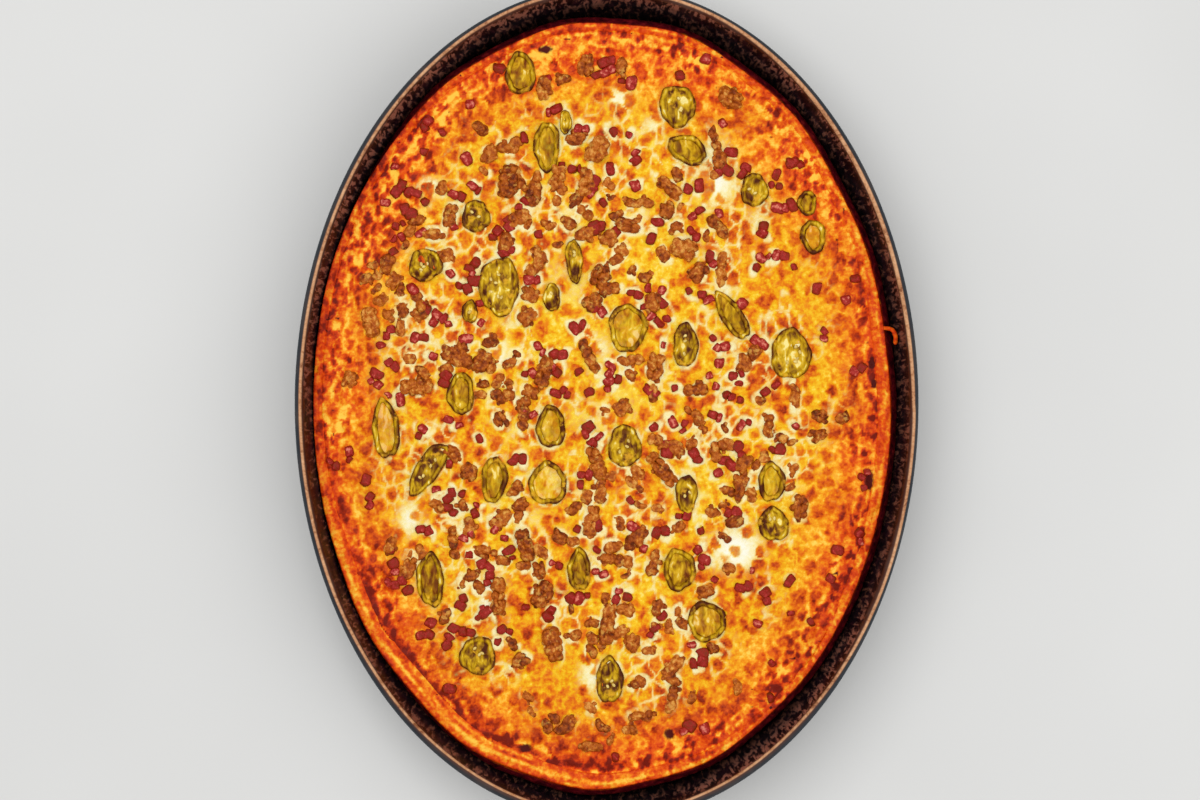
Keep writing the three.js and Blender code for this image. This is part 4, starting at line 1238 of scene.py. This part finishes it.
def make_crumbs(material, crumbs):
    """All sausage too small for a node of its own, as one mesh."""
    shapes = (lump(7, 11, 0.9), lump(4, 8, 0.9))
    rows = []
    for i, (x, y, length, breadth, degrees) in enumerate(SMALL_SAUSAGES):
        size = (length, breadth, SMALL_SAUSAGE_HEIGHT * breadth)
        rows.append((x, y, SMALL_SAUSAGE_RAISED, math.radians(degrees), size, i + 50))
    for i, (x, y, share, turn) in enumerate(crumbs):
        length = CRUMB_LENGTH * share
        size = (length, length * CRUMB_BREADTH, length * CRUMB_HEIGHT)
        rows.append((x, y, CRUMB_RAISED, turn, size, i + 150))
    parts = []
    for x, y, raised, turn, size, seed in rows:
        points, faces, masks = sausage_lump(shapes, *size, seed)
        parts.append((placed(points, x, y, cheese_height(x, y) + raised, turn), faces, masks))
    points, faces, masks = joined(parts)
    return mesh_piece("sausage_crumbs", points, faces, material, ["cheese"], masks)


def pepper_outline(row, lobes, tilt, flesh, seed):
    """A slice's rings along its own axes: u, v, height, shade, and inset in millimetres."""
    width, length, middle = row[2], row[3], row[5]
    turn = round_turn(PEPPER_STEPS)
    section = np.array(PEPPER_WALL + (PEPPER_INNER_SIDE if middle == "open" else PEPPER_WEB))
    inset, height, shade = (section[:, [k]] for k in range(3))
    lobe = 1 + PEPPER_LOBE * np.cos(3 * turn + lobes)
    lobe = lobe + 0.03 * np.sin(5 * turn + seed) + 0.02 * np.sin(9 * turn + 2 * seed)
    u = (width / 2 - inset * flesh) * lobe * np.cos(turn)
    v = (length / 2 - inset * flesh) * lobe * np.sin(turn)
    h = height + tilt * np.cos(turn) * (height > 0)
    inset, shade = (np.repeat(column, PEPPER_STEPS, axis=1) for column in (inset * flesh, shade))
    if middle == "full":
        # Rings of one height that close the slice in its middle.
        shares = np.array([[0.8], [0.6], [0.4], [0.2], [0.02]])
        u, v = (np.vstack([ring, shares * ring[-1]]) for ring in (u, v))
        h, shade, inset = (
            np.vstack([ring, np.repeat(ring[-1:], len(shares), axis=0)])
            for ring in (h, shade, inset)
        )
        inset[-len(shares) :] = np.inf
    return u, v, h, shade, inset


def pepper_slice(row, draw):
    """One slice as (points, faces, attributes)."""
    x, y, width, length, degrees, middle, inside = row
    full = middle == "full"
    lobes = 2 * math.pi * next(draw)
    tilt = PEPPER_TILT * (next(draw) - 0.5)
    flesh = min(PEPPER_FLESH, width * PEPPER_FLESH_SHARE)
    seed = int(3000 + 10 * x + y)
    u, v, h, shade, inset = pepper_outline(row, lobes, tilt, flesh, seed)
    h = h + 0.6 * (noise2(u + 60, v + 60, 4.0, seed) - 0.5) * (h > 0)
    dark_side = np.maximum(0, np.cos(round_turn(PEPPER_STEPS) - seed)) * smooth(3.0, 0.5, inset)
    shade = shade + (0.15 if full else 0.0) * inside - 0.22 * dark_side
    if full:
        inner = smooth(1.3, 1.6, (width / 2 - np.hypot(u, v * width / length)) / flesh)
        spokes = np.abs(np.sin(1.5 * np.arctan2(v, u) + lobes))
        reach = np.hypot(u / width, v / length) * 2
        ridge = smooth(0.30, 0.05, spokes) * smooth(0.1, 0.25, reach)
        h = h + inner * (0.6 * ridge - 0.25)
        shade = shade + inner * (0.45 * inside + 0.12 * ridge)
    across, along = carried(u, v, x, y, math.radians(degrees))
    points = as_points(across, along, h + cheese_height(across, along))
    own = np.random.default_rng(seed)
    for depth in (-0.5, -0.4, 0.4, -0.3, 0.3):
        angle, share = 2 * math.pi * own.random(), 0.15 + 0.65 * own.random()
        spot_u, spot_v = share * width / 2 * math.cos(angle), share * length / 2 * math.sin(angle)
        away = np.hypot(u - spot_u, v - spot_v) / (1.2 + 1.2 * own.random())
        shade = shade + depth * np.exp(-(away**2))
    faces = grid_faces(len(u), PEPPER_STEPS, wrap_rows=not full, wrap_columns=True)
    return points, faces, {"shade": shade.ravel()}


def make_peppers(material):
    draw = make_draw(PEPPER_SEED)
    for number, row in enumerate(PEPPERS, 1):
        points, faces, masks = pepper_slice(row, draw)
        node = f"pepper_{number:02d}"
        mesh_piece(node + "_slice", points, faces, material, [node], masks)


def make_seeds(material):
    """Flat seeds lying in the full pepper slices."""
    base, faces = lump(5, 10, 1.0)
    draw = np.random.default_rng(91)
    parts = []
    for x, y, width, length, degrees, middle, _ in PEPPERS:
        for _ in range(int(width * length / AREA_OF_A_SEED) if middle == "full" else 0):
            radius, turn = 0.62 * math.sqrt(draw.random()), 2 * math.pi * draw.random()
            u = (width / 2 - SEED_CLEAR) * radius * math.cos(turn)
            v = (length / 2 - SEED_CLEAR) * radius * math.sin(turn)
            a, b = carried(u, v, x, y, math.radians(degrees))
            place = (a, b, cheese_height(a, b) + SEED_RAISED, 6.3 * draw.random())
            parts.append((placed(base * SEED_SIZE, *place), faces, {}))
    points, faces, _ = joined(parts)
    return mesh_piece("pepper_seeds", points, faces, material)


# ---------------------------------------------------------------- camera, light, floor


def make_camera():
    """Straight down over the pan's middle, framed as the photograph is."""
    camera = bpy.data.cameras.new("camera")
    shown_width = PAN_WIDTH * MM * PHOTO_WIDTH / PX_ACROSS_PAN
    camera.sensor_width = 36.0
    camera.lens = camera.sensor_width * (CAMERA_HEIGHT - PAN_HEIGHT * MM) / shown_width
    camera.clip_start, camera.clip_end = 0.05, 20.0
    metre_per_px = shown_width / PHOTO_WIDTH
    right = (PHOTO_WIDTH / 2 - PAN_MIDDLE_X_PX) * metre_per_px
    up = -(PHOTO_HEIGHT / 2 - PAN_MIDDLE_Y_PX) * metre_per_px
    holder = show("camera", camera)
    holder.location = (right, up, CAMERA_HEIGHT)
    bpy.context.scene.camera = holder


def make_light(name, energy, size, place):
    light = bpy.data.lights.new(name, "AREA")
    light.energy, light.size = energy, size
    holder = show(name, light)
    holder.location = place
    direction = Vector(LIGHTS_AIM) - Vector(place)
    holder.rotation_euler = direction.to_track_quat("-Z", "Y").to_euler()


def make_world():
    world = bpy.data.worlds.new("studio")
    bpy.context.scene.world = world
    world.use_nodes = True
    background = world.node_tree.nodes["Background"]
    background.inputs["Color"].default_value = (1.0, 1.0, 1.0, 1.0)
    background.inputs["Strength"].default_value = WORLD_STRENGTH


def make_floor(material):
    corners = [(-1, -1), (1, -1), (1, 1), (-1, 1)]
    mesh = bpy.data.meshes.new("floor")
    points = [(x * FLOOR_REACH * MM, y * FLOOR_REACH * MM, FLOOR_HEIGHT * MM) for x, y in corners]
    mesh.from_pydata(points, [], [(0, 1, 2, 3)])
    mesh.materials.append(material)
    floor = show("floor", mesh)


def main():
    bpy.context.scene.view_settings.view_transform = "Standard"
    crumbs, bits = small_toppings()
    baked = baked_material()
    sausage = sausage_material()
    make_pan(pan_material())
    make_crust(baked)
    make_hook(baked)
    make_cheese(baked, crumbs, bits)
    make_bacon(bacon_material(), bits)
    make_crumbs(sausage, crumbs)
    make_sausages(sausage)
    make_peppers(pepper_material())
    make_seeds(seed_material())
    make_floor(floor_material())
    make_world()
    for light in LIGHTS:
        make_light(*light)
    make_camera()


main()
